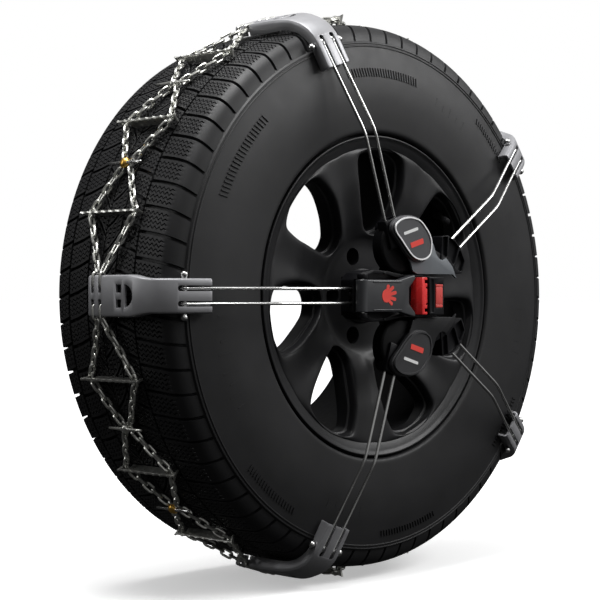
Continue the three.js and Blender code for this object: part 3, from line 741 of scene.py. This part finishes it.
def strand(side):
    """The links of one strand of one net segment, whose first arm lies along +X."""
    slot_angle, slot_spread, slot_r = 5.3, 7.5, 367.8   # where the strand runs into a plate's slots
    cross_spread = 5.5                                  # beside the strand's partner at a crossing
    links_to_a_stop = 6
    stops = [(-slot_angle, slot_spread, slot_r), (-BLADE_OFFSETS[0], NET_SPREAD, STRAND_R),
             (-BRASS_OFFSET, cross_spread, STRAND_R), (-BLADE_OFFSETS[1], NET_SPREAD, STRAND_R),
             (-PLAIN_OFFSET, cross_spread, STRAND_R), (-BLADE_OFFSETS[2], NET_SPREAD, STRAND_R),
             (-ARM_STEP + slot_angle, slot_spread, slot_r)]
    places = [on_wheel(stops[0][0], stops[0][2], NET_Y + side * stops[0][1])]
    for (a0, s0, r0), (a1, s1, r1) in zip(stops, stops[1:]):
        for k in range(1, links_to_a_stop + 1):
            t = k / links_to_a_stop
            lift = ramp(abs(t - (0 if r0 > r1 else 1)), ((0, 1.0), (0.45, 0.0))) if r0 != r1 else 0
            r = STRAND_R + (max(r0, r1) - STRAND_R) * lift
            places.append(on_wheel(a0 + (a1 - a0) * t, r, NET_Y + side * (s0 + (s1 - s0) * t)))
    links = []
    for i, place in enumerate(places):
        before, after = places[max(i - 1, 0)], places[min(i + 1, len(places) - 1)]
        along = after - before
        pitch = along.length / (2 if 0 < i < len(places) - 1 else 1)
        out = Vector((place[0], 0, place[2])).normalized()
        flat_way = along.cross(out).normalized()
        tilt = math.radians(14 if i % 2 == 0 else 82)
        wide = flat_way * math.cos(tilt) + out * math.sin(tilt)
        links.append(link(place, along, wide, min(pitch + 4.1 * WIRE_R, LINK_LENGTH_MOST), LINK_WIDTH))
    for degrees, inwards in ((0, -1), (-ARM_STEP, 1)):
        end = Vector((369.6, NET_Y + side * 7, inwards * 19.4))
        links.append(turned(link(end, Vector((0, 0, 1)), Vector((1, 0, 0)), 21, 10.8), degrees))
    return merge(*links)


def stud(degrees, r):
    """A cross bar that swells at its middle, lying across the tread at a crossing."""
    half = CROSS_BAR_LENGTH / 2
    return turned_bar(on_wheel(degrees, r, NET_Y - half), on_wheel(degrees, r, NET_Y + half), (
        (0, 0.9), (0.02, 1.7), (0.2, 1.9), (0.38, 2.5), (0.5, 2.7), (0.62, 2.5), (0.8, 1.9), (0.98, 1.7),
        (1, 0.9)), 12)


def knot(degrees, r, radius):
    """A faceted boss at a crossing."""
    place = on_wheel(degrees, r, NET_Y)
    out = Vector((place[0], 0, place[2])).normalized()
    return turned_bar(place - out * 3.5, place + out * 6.0, (
        (0, radius * 0.5), (0.12, radius * 0.86), (0.4, radius), (0.62, radius * 0.95), (0.84, radius * 0.7),
        (0.97, radius * 0.34), (1, radius * 0.1)), 10)


def blade():
    """A grip blade along +X: notched over the strands below and scalloped above."""
    low, roof, top = 357.2, 366.2, 370.4
    half = BLADE_HALF_LENGTH
    below = []
    for centre in (NET_Y - NET_SPREAD, NET_Y + NET_SPREAD):
        below += [(centre - 8, low), (centre - 6.4, roof), (centre + 6.4, roof), (centre + 8, low)]
    foot = [(NET_Y - half + 5, low)] + below + [(NET_Y + half - 5, low)]
    crest = []
    waves, steps = 8, 48
    for k in range(steps + 1):
        t = k / steps
        crest.append((NET_Y + half - 2 * half * t, top - 1.5 * abs(math.sin(math.pi * waves * t)) ** 0.8))
    outline = foot + crest
    half_thick = 1.5
    return refined(extruded([(r, y) for y, r in outline], 2, -half_thick, half_thick), bevel=0.5)


def build_net():
    one_strand = merge(strand(1), strand(-1))
    plain = merge(stud(-PLAIN_OFFSET, 367.2), knot(-PLAIN_OFFSET, STRAND_R + 3.2, 6.0))
    chain = merge(one_strand, plain)
    brass = knot(-BRASS_OFFSET, STRAND_R + 4.2, 7.2)
    bar = stud(-BRASS_OFFSET, 367.8)
    one_blade = blade()
    for arm in range(ARMS):
        degrees = FIRST_ARM - ARM_STEP * arm
        label = arm + 1
        piece(f"chain_links_{label}", turned(chain, degrees), "chain_steel",
              replaces=[f"tread_chain_{label}"])
        piece(f"brass_boss_{label}", turned(brass, degrees), "brass_finish",
              replaces=[f"brass_cross_{label}"])
        piece(f"crossing_bar_{label}", turned(bar, degrees), "bright_steel")
        for i, offset in enumerate(BLADE_OFFSETS):
            number = arm * len(BLADE_OFFSETS) + i + 1
            piece(f"blade_{number}", turned(one_blade, degrees - offset), "chain_steel",
                  replaces=[f"grip_blade_{number}"])


# ---- arms

# The outer face of an arm plate, tread end first, as (radius, y).
PLATE_LINE = ((PLATE_R, 8), (PLATE_R, -20), (PLATE_R, -58), (373, -76), (370, -90), (364, -105),
              (356, -116), (345.5, -124.5), (333, -129.8), (319, -134), (304.5, PLATE_FOOT_Y))
# The plate's half width and the depth of its channel, as (distance from the middle plane, value).
PLATE_HALF_WIDTH = ((-8, 25), (70, 25), (96, 20.7), (140, 20.5))
PLATE_DEPTH = ((-8, 14.8), (60, 14.8), (90, 13.2), (112, 13.6), (140, 14.2))


def arm_plate():
    """A bent channel along +X, with the chain slots, windows and rod slots cut through it."""
    line = smooth_line(PLATE_LINE, 4)
    rows = []
    for i, point in enumerate(line):
        before, after = line[max(i - 1, 0)], line[min(i + 1, len(line) - 1)]
        along = (after - before).normalized()
        inward = Vector((along[1], -along[0]))
        y = point[1]
        half = ramp(-y, PLATE_HALF_WIDTH)
        depth = ramp(-y, PLATE_DEPTH)
        section = [(half, depth), (half, 4.2), (half - 0.5, 2.2), (half - 1.7, 0.7), (half - 3.8, 0),
                   (-half + 3.8, 0), (-half + 1.7, 0.7), (-half + 0.5, 2.2), (-half, 4.2), (-half, depth),
                   (-half + 2.6, depth), (-half + 2.6, 4.6), (-half + 4, 3), (half - 4, 3), (half - 2.6, 4.6),
                   (half - 2.6, depth)]
        rows.append([Vector((point[0] + inward[0] * d, y + inward[1] * d, s)) for s, d in section])
    shell = grid(rows, wrap_rows=False, caps=True)

    cutters = []
    for side in (1, -1):
        low, high = sorted((side * 4, side * 32))
        for spread in (-7, 7):
            slot = NET_Y + spread
            cutters.append(block((352, slot - 2.7, low), (385, slot + 2.7, high)))
        low, high = sorted((side * 4, side * 13.6))
        cutters.append(block((360, -55.5, low), (385, -45.8, high)))
        low, high = side * ROD_HALF_SPACING - 3.3, side * ROD_HALF_SPACING + 3.3
        outline = rounded([(345, low), (345, high), (290, high), (290, low)], [3, 3, 0, 0])
        cutters.append(prism(outline, -108, -160))
    moon = [(-62 - 13.5 * math.sin(math.pi * k / 16), 13.5 * math.cos(math.pi * k / 16)) for k in range(17)]
    cutters.append(extruded(moon, 0, 360, 385))
    cutters.append(round_bar((PIN_R, PIN_Y, -32), (PIN_R, PIN_Y, 32), 3.6, 24))
    return refined(shell, cutters, bevel=0.45, angle=40)


def arm_pin():
    """The cross pin, with a domed head at each end."""
    return turned_bar((PIN_R, PIN_Y, -PIN_HALF_LENGTH), (PIN_R, PIN_Y, PIN_HALF_LENGTH), (
        (0, 0.8), (0.012, 2.6), (0.035, 4.0), (0.065, 4.5), (0.095, 4.2), (0.125, PIN_SHANK_R),
        (0.875, PIN_SHANK_R), (0.905, 4.2), (0.935, 4.5), (0.965, 4.0), (0.988, 2.6), (1, 0.8)), 24)


def arm_rod():
    """The hairpin of spring wire, from its two hooks on the cross pin to its inner bend."""
    reach = PIN_SHANK_R + ROD_R + 0.35
    leg = []
    for k in range(12):
        angle = math.radians(-60 + 167 * k / 11)
        leg.append((PIN_R + reach * math.cos(angle), PIN_Y - reach * math.sin(angle)))
    kink = smooth_line([(228, -161), (218, -163.5), (208, ROD_PLANE_Y)], 4)
    leg += [tuple(p) for p in kink] + [(150, ROD_PLANE_Y), (ROD_POST_R, ROD_PLANE_Y)]
    path = [Vector((r, y, ROD_HALF_SPACING)) for r, y in leg]
    for k in range(1, 14):
        angle = math.pi * k / 14
        path.append(Vector((ROD_POST_R - ROD_HALF_SPACING * math.sin(angle), ROD_PLANE_Y,
                            ROD_HALF_SPACING * math.cos(angle))))
    path += [Vector((r, y, -ROD_HALF_SPACING)) for r, y in reversed(leg)]
    return sweep(path, [ROD_R] * len(path), 14)


def build_arms():
    plate, pin, rod = arm_plate(), arm_pin(), arm_rod()
    for arm in range(ARMS):
        degrees = FIRST_ARM - ARM_STEP * arm
        label = arm + 1
        piece(f"plate_{label}", turned(plate, degrees), "plate_steel",
              replaces=[f"arm_plate_{label}"], sharp=30)
        piece(f"cross_pin_{label}", turned(pin, degrees), "bright_steel", replaces=[f"arm_pin_{label}"])
        piece(f"hairpin_{label}", turned(rod, degrees), "bright_steel", replaces=[f"arm_rod_{label}"])


# ---- tensioning mechanism

REEL_X, REEL_Z, REEL_R = -13, 63.5, 35
# The rim line's outer edge on the upper badge, as (x, z).
BADGE_LINE = ((-38.4, 90.4), (-28, 97.4), (-13.8, 100.2), (-1, 99.2), (9.6, 95.6), (21.7, 84.8), (28.2, 75),
              (30, 65), (27, 52.8), (18, 46.6), (6, 45.4), (-5, 48.8), (-15, 56.4), (-28.2, 70), (-36, 77.4),
              (-39.8, 83.6))


def badge_outline(grow):
    """The badge's outline, offset outwards from its rim line."""
    line = smooth_line(BADGE_LINE, 5, closed=True)
    count = len(line)
    outline = []
    for i, point in enumerate(line):
        along = (line[(i + 1) % count] - line[i - 1]).normalized()
        outline.append((point[0] - along[1] * grow, point[1] + along[0] * grow))
    return outline


def bar_along_z(x, y, half, radius):
    """A plain round bar along Z, centred on the middle plane of the mechanism."""
    return round_bar((x, y, -half), (x, y, half), radius, 32)


def rod_channel(degrees):
    """The channel round an anchor post that an arm rod's inner bend lies in."""
    low, high = ROD_PLANE_Y - 3.3, ROD_PLANE_Y + 3.3
    outer = block((70, low, -12.4), (125, high, 12.4))
    post = round_bar((ROD_POST_R, low - 1, 0), (ROD_POST_R, high + 1, 0), 6.4, 24)
    return turned(refined(outer, [post]), degrees)


def spine():
    """The middle casting: a well for the lever, ears for its pin and pockets for the latch and the bar."""
    outline = rounded([
        (-102, -20), (-94, -29), (-72, -32.5), (-46, -31), (-18, -26.5), (52, -26.5),
        (52, 26.5), (-18, 26.5), (-46, 31), (-72, 32.5), (-94, 29), (-102, 20)],
        [4, 12, 30, 30, 14, 4, 4, 14, 30, 30, 12, 4], 7)
    well = rounded([
        (-103, -21), (-86, -21), (-72, -28.5), (-46, -27), (-22, -22), (20, -22), (20, 22),
        (-22, 22), (-46, 27), (-72, 28.5), (-86, 21), (-103, 21)],
        [0, 10, 16, 22, 16, 0, 0, 16, 22, 16, 10, 0], 7)
    ears = [round_bar((LEVER_X, LEVER_Y, side * 21), (LEVER_X, LEVER_Y, side * 27), 6.5, 28)
            for side in (-1, 1)]
    body = refined(prism(outline, SPINE_BACK_Y, -175), [
        prism(well, -170, -180), bar_along_z(LEVER_X, LEVER_Y, 21, 9.2),
        block((20, -180, -30), (60, -170.6, 30)), block((2.4, -180, -24.4), (17.8, -155.6, 24.4)),
        block((-66, -180, -9.5), (-24, -156, 9.5)), rod_channel(180)], bevel=0.7)
    return merge(body, *[refined(ear, [bar_along_z(LEVER_X, LEVER_Y, 40, 2.9)], bevel=0.5) for ear in ears])


def side_housing():
    """The upper side housing, as (its reel case, the rest of it with the fan and the rod channels)."""
    drum = prism(badge_outline(1), HOUSING_BACK_Y, HOUSING_FRONT_Y)
    bridge = prism([(-2, 40), (1, 32), (9, 27.4), (78, 27.4), (84, 30), (66, 52), (30, 66)],
                   -152, HOUSING_FRONT_Y)
    clear = block((-110, -200, -5), (130, -100, 27.3))
    up = turned(refined(block((66, HOUSING_FRONT_Y, -15.5), (103, -156, 15.5)), bevel=1.6), 108)
    pockets = [
        [(58.6, 49), (61.4, 76.8), (70.9, 77), (69, 51)],
        [(71, 52), (73.2, 76.4), (85, 70.6), (92.6, 63.6), (82.6, 40)],
        [(84.6, 38.6), (94.4, 61.6), (103.4, 45.6), (97, 31)]]
    cells = [prism(rounded(pocket, 2.5), -168.4, HOUSING_FRONT_Y - 2) for pocket in pockets]
    fan = rounded([(57, 44), (60, 78), (72, 78.5), (86, 72), (95, 64), (101, 54), (105.5, 45.5), (102, 36),
                   (98, 29.5), (78, 28)], 3)
    across = prism(fan, -154, HOUSING_FRONT_Y - 1.2)
    rods = [rod_channel(108), rod_channel(36)]
    reel = turned_bar((REEL_X, HOUSING_BACK_Y - 1, REEL_Z), (REEL_X, -167.4, REEL_Z), (
        (0, REEL_R - 1.5), (0.08, REEL_R), (0.84, REEL_R), (0.96, REEL_R - 1.6), (1, REEL_R - 3.6)), 72)
    rest = merge(refined(drum, [rods[0]], bevel=0.8), refined(bridge, [clear, *rods], bevel=0.6),
                 refined(up, [clear, rods[0]]), refined(across, [*cells, clear, rods[1]], bevel=0.45))
    return refined(reel, [clear, *rods]), rest


def wing():
    """The flat cover between the upper badge and the spine."""
    outline = rounded([
        (-9, 52), (-2, 41), (1, 32), (9, 28), (78, 28), (86, 22), (78, 38), (66, 49),
        (59, 46), (52, 48), (46, 54), (40, 68), (-8, 74)], [2, 6, 4, 2, 2, 0.8, 8, 2, 4, 6, 8, 4, 2], 6)
    return refined(prism(outline, HOUSING_FRONT_Y - 0.4, WING_FRONT_Y), bevel=0.9, segments=3)


def badge_loop(grow, behind):
    """A loop round a badge, at a distance behind its front face."""
    return [Vector((x, BADGE_FRONT_Y + behind, z)) for x, z in badge_outline(grow)]


def badge():
    """The cover of a side housing: a stepped side, a raised rim line and a plain face."""
    body = [badge_loop(grow, behind) for grow, behind in (
        (-1, 8), (2, 8), (2, 3.8), (1.5, 3.2), (0.4, 3), (0.4, 0.8), (-0.2, 0), (-2.6, 0), (-2.9, 0.7))]
    return grid(body, wrap_rows=False, caps=True)


def badge_rim():
    """The raised line round a badge's face."""
    return grid([badge_loop(grow, behind)
                 for grow, behind in ((0, 0.4), (-0.3, -0.5), (-2.1, -0.5), (-2.4, 0.4))])


def badge_bars():
    """Two plain bars on a badge's face, lying along its long direction."""
    bars = []
    for x, z, half, thick in ((-9.8, 82.0, 13.5, 1.9), (1.6, 67.0, 12, 3.4)):
        outline = rounded([(-half, -thick), (half, -thick), (half, thick), (-half, thick)], 1.2, 3)
        turn = Matrix.Rotation(-math.radians(16), 4, "Y")
        bars.append(moved(prism(outline, -181, -181.75), Matrix.Translation((x, 0, z)) @ turn))
    return bars


def lever():
    """The lever: a hollow plate with a forked end, lugs for the pawl and the barrel round its pin."""
    half = 20
    outline = rounded([
        (-97, -half), (-37, -half), (-19, -24.5), (-9, -26.5), (-8, -22), (-20, -10),
        (-20, 10), (-8, 22), (-9, 26.5), (-19, 24.5), (-37, half), (-97, half)],
        [0, 14, 8, 2.5, 3, 1.5, 1.5, 3, 2.5, 8, 14, 0], 6)
    lug = block((-65.5, -182, -half), (-54.5, -173.6, half))
    plate = refined(prism(outline, -178, LEVER_FRONT_Y), [block((-84, -182.5, -17), (-26, -170, 17))],
                    bevel=1.7, segments=4)
    lugs = refined(lug, [block((-84, -190, -17), (-26, -170, 17)), bar_along_z(-60, -178.4, 30, 2.4)],
                   bevel=0.4)
    barrel = turned_bar((LEVER_X, LEVER_Y, -half), (LEVER_X, LEVER_Y, half), (
        (0, 6.9), (0.006, 7.6), (0.02, 8), (0.98, 8), (0.994, 7.6), (1, 6.9)), 48)
    cheek = []
    for side in (-1, 1):
        low, high = sorted((side * 16.6, side * 18.2))
        cheek.append(refined(block((-86, -188.9, low), (-34, -186, high)), bevel=0.5))
    return merge(plate, lugs, refined(barrel, [bar_along_z(LEVER_X, LEVER_Y, 30, 2.9)]), *cheek)


def palm():
    """A plain open-hand sign, fingers to the right, raised a little from the lever's face."""
    pad = []
    for k in range(28):
        angle = TURN * k / 28
        pad.append((-62.4 + 7.6 * math.cos(angle), 8.2 * math.sin(angle)))
    signs = [prism(pad, LEVER_FRONT_Y + 0.5, LEVER_FRONT_Y - 0.45)]
    for x, z, degrees, length, half in ((-61, 5.2, 72, 9.2, 2.5), (-57.6, 5.4, 36, 10.5, 2.2),
                                        (-56.4, 1.9, 12, 12.6, 2.2), (-56.6, -2.0, -12, 12.0, 2.2),
                                        (-58.0, -5.4, -40, 8.6, 2.1)):
        outline = rounded([(-3, -half), (length, -half), (length, half), (-3, half)], half * 0.95, 5)
        turn = Matrix.Rotation(-math.radians(degrees), 4, "Y")
        signs.append(moved(prism(outline, LEVER_FRONT_Y + 0.5, LEVER_FRONT_Y - 0.4),
                           Matrix.Translation((x, 0, z)) @ turn))
    return merge(*signs)


def latch():
    """The latch block, with a sloping front corner and notches along its free edge."""
    (x0, y0, z0), (x1, y1, z1) = low_corner("release_latch"), high_corner("release_latch")
    side = [(x0, y1), (x0, y0 + 7), (x0 + 4.6, y0), (x1, y0), (x1, y1)]
    notches = []
    for low, high in ((16, 20.4), (-20.4, -16), (9.6, 11.4), (-11.4, -9.6)):
        depth = 12.4 if abs(low + high) > 30 else 14.6
        notches.append(block((depth, y0 - 5, low), (20, y0 + 4, high)))
    return refined(extruded(side, 2, z0, z1), notches, bevel=0.6)


def latch_surround():
    """The frame round the button, with a window 0.6 mm clear of it and a groove beside it."""
    low, high = low_corner("lock_button"), high_corner("lock_button")
    window = block((low[0] - 0.6, -190, low[2] - 0.6), (high[0] + 0.6, -173, high[2] + 0.6))
    return refined(block(low_corner("latch_frame"), high_corner("latch_frame")),
                   [window, block((24, -190, -21), (29, -183.6, 21))], bevel=1.1, segments=3)


def button():
    """The lock button, with a groove near each end."""
    grooves = [block((33, -187, z - 0.5), (46, -185.3, z + 0.5)) for z in (-11, 11)]
    return refined(block(low_corner("lock_button"), high_corner("lock_button")), grooves, bevel=0.8,
                   segments=3)


def build_mechanism():
    piece("spine_shell", spine(), "housing_black", replaces=["spine_housing"])
    (reel, one_side), one_wing, one_badge, rim = side_housing(), wing(), badge(), badge_rim()
    pale_bar, red_bar = badge_bars()
    # The lower side takes darker copies of the fin, the cover's face and the rim, which paint the shade that
    # it lies in.
    for label, flip, fin, face, edge in (("upper", lambda shape: shape, None, None, "rim_silver"),
                                         ("lower", lambda shape: mirrored(shape, 2), "shaded_grey",
                                          "shaded_badge", "rim_painted_shade")):
        piece(f"{label}_housing", flip(one_side), "housing_black", replaces=[f"{label}_side_housing"])
        piece(f"{label}_reel_case", flip(reel), "housing_black", look="shaded_black")
        piece(f"{label}_fin_wing", flip(one_wing), "wing_grey", replaces=[f"{label}_wing"], look=fin)
        piece(f"{label}_cover", flip(one_badge), "badge_grey", replaces=[f"{label}_badge"], look=face)
        piece(f"{label}_cover_rim", flip(rim), "badge_grey", look=edge)
        piece(f"{label}_pale_bar", flip(pale_bar), "badge_grey", look="pale_print")
        piece(f"{label}_red_bar", flip(red_bar), "badge_grey", look="red_print")
    piece("hand_lever", lever(), "lever_black", replaces=["tension_lever"], body="lever")
    piece("hand_sign", palm(), "signal_red", body="lever", look="red_print")
    pin = turned_bar((LEVER_X, LEVER_Y, -26.6), (LEVER_X, LEVER_Y, 26.6), (
        (0, 1.8), (0.01, 2.5), (0.99, 2.5), (1, 1.8)), 24)
    piece("pivot_pin", pin, "bright_steel", replaces=["lever_pin"])
    piece("latch_block", latch(), "signal_red", replaces=["release_latch"], body="latch")
    piece("latch_surround", latch_surround(), "housing_black", replaces=["latch_frame"])
    piece("button_block", button(), "signal_red", replaces=["lock_button"], body="button", look="pale_red")
    rivets = []
    for x, z in ((-96, 25), (-96, -25), (-52, 29), (-52, -29)):
        rivets.append(turned_bar((x, -174, z), (x, -176.4, z),
                                 ((0, 1.9), (0.55, 1.9), (0.9, 1.3), (1, 0.5)), 16))
    piece("spine_rivets", merge(*rivets), "bright_steel", look="shaded_grey")
    for name, look in (("back_plate", "shaded_black"), ("drive_pawl", "bright_steel"),
                       ("ratchet_bar", "plate_steel")):
        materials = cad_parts[name].data.materials
        materials.clear()
        materials.append(MATERIALS[look])


# ---- stage, light and camera

DOME_DIRECTION = (0.30, -0.40, 0.87)
DOME_LOW = 0.025
DOME_HIGH = 0.62
DOME_EDGE = 0.02                # how far a direction leans to the dome's bright side before it gets light
FLOOR_GLOW = (0.42, 1.0)        # beside the wheel, where the low glow paints shade, and far from it
GLOW_REACH = (0.5, 1.7)         # the distances from the wheel's middle between which the glow grows
FLOOR_HALF = 60


def build_floor():
    """A pale floor that glows a little, least beside the wheel: the dip paints shade round the wheel, where
    its cast shadow also falls.
    """
    lowest = CAD_BOX[0][2]
    mesh = bpy.data.meshes.new("floor")
    corners = [(x * FLOOR_HALF, y * FLOOR_HALF, lowest) for x, y in ((-1, -1), (1, -1), (1, 1), (-1, 1))]
    mesh.from_pydata(corners, [], [(0, 1, 2, 3)])
    pale = finish("floor_pale", (0.86, 0.86, 0.86), 0.7, variation=0.01, scale=3, bump=0.0, specular=0.1)
    tree, links = pale.node_tree, pale.node_tree.links
    shader = tree.nodes["Principled BSDF"]
    shader.inputs["Emission Color"].default_value = (1, 1, 1, 1)
    spot = add_node(tree, "TexCoord")
    away = add_node(tree, "VectorMath")
    away.operation = "LENGTH"
    links.new(spot.outputs["Object"], away.inputs[0])
    glow = add_node(tree, "MapRange", From_Min=GLOW_REACH[0], From_Max=GLOW_REACH[1],
                    To_Min=FLOOR_GLOW[0], To_Max=FLOOR_GLOW[1])
    links.new(away.outputs["Value"], glow.inputs["Value"])
    links.new(glow.outputs["Result"], shader.inputs["Emission Strength"])
    mesh.materials.append(pale)
    floor = linked(mesh, "floor")
    floor.visible_diffuse = False
    floor.visible_glossy = False


def build_world():
    """White to the camera, and a soft dome with a bright side to everything else."""
    world = bpy.data.worlds.new("studio")
    world.use_nodes = True
    tree, links = world.node_tree, world.node_tree.links
    lighting = tree.nodes["Background"]
    lighting.inputs["Color"].default_value = (1, 1, 1, 1)
    place = add_node(tree, "TexCoord")
    facing = add_node(tree, "VectorMath")
    facing.operation = "DOT_PRODUCT"
    facing.inputs[1].default_value = Vector(DOME_DIRECTION).normalized()
    links.new(place.outputs["Generated"], facing.inputs[0])
    dome = add_node(tree, "MapRange", From_Min=DOME_EDGE, To_Min=DOME_LOW, To_Max=DOME_HIGH)
    links.new(facing.outputs["Value"], dome.inputs["Value"])
    links.new(dome.outputs["Result"], lighting.inputs["Strength"])
    backdrop = add_node(tree, "Background", Color=(1, 1, 1, 1))
    chooser = add_node(tree, "MixShader")
    path = add_node(tree, "LightPath")
    links.new(path.outputs["Is Camera Ray"], chooser.inputs["Fac"])
    links.new(lighting.outputs["Background"], chooser.inputs[1])
    links.new(backdrop.outputs["Background"], chooser.inputs[2])
    links.new(chooser.outputs["Shader"], tree.nodes["World Output"].inputs["Surface"])
    bpy.context.scene.world = world
    bpy.context.scene.view_settings.view_transform = "Standard"


def soft_light(name, place, target, size, power):
    """A rectangular area light that faces a target."""
    data = bpy.data.lights.new(name, "AREA")
    data.shape = "RECTANGLE"
    data.size, data.size_y = size
    data.energy = power
    light = linked(data, name)
    light.location = place
    light.rotation_euler = (Vector(target) - Vector(place)).to_track_quat("-Z", "Y").to_euler()


def build_lights():
    soft_light("overhead", (-0.4, -0.1, 1.7), (-0.05, 0, 0), (1.3, 0.9), 44)
    soft_light("front_high", (1.15, -1.35, 1.15), (0, -0.1, 0.1), (1.3, 0.9), 30)
    soft_light("back_left", (-2.1, 1.2, 0.9), (-0.3, 0, 0.1), (0.5, 1.3), 9)


CAMERA_DISTANCE = 2.2729
CAMERA_LENS = 101.2
# Azimuth and elevation in degrees: of the camera seen from the wheel's middle, and of its line of sight.
CAMERA_PLACE = (-44.352, 0.035)
CAMERA_AIM = (-43.796, 0.176)


def build_camera():
    def direction(azimuth, elevation):
        a, e = math.radians(azimuth), math.radians(elevation)
        return Vector((math.sin(a) * math.cos(e), -math.cos(a) * math.cos(e), math.sin(e)))

    data = bpy.data.cameras.new("camera")
    data.sensor_width = 36
    data.lens = CAMERA_LENS
    camera = linked(data, "camera")
    camera.location = direction(*CAMERA_PLACE) * CAMERA_DISTANCE
    camera.rotation_euler = (-direction(*CAMERA_AIM)).to_track_quat("-Z", "Y").to_euler()
    bpy.context.scene.camera = camera


build_camera()
build_floor()
build_world()
build_lights()
build_tyre()
build_wheel()
build_valve()
build_net()
build_arms()
build_mechanism()
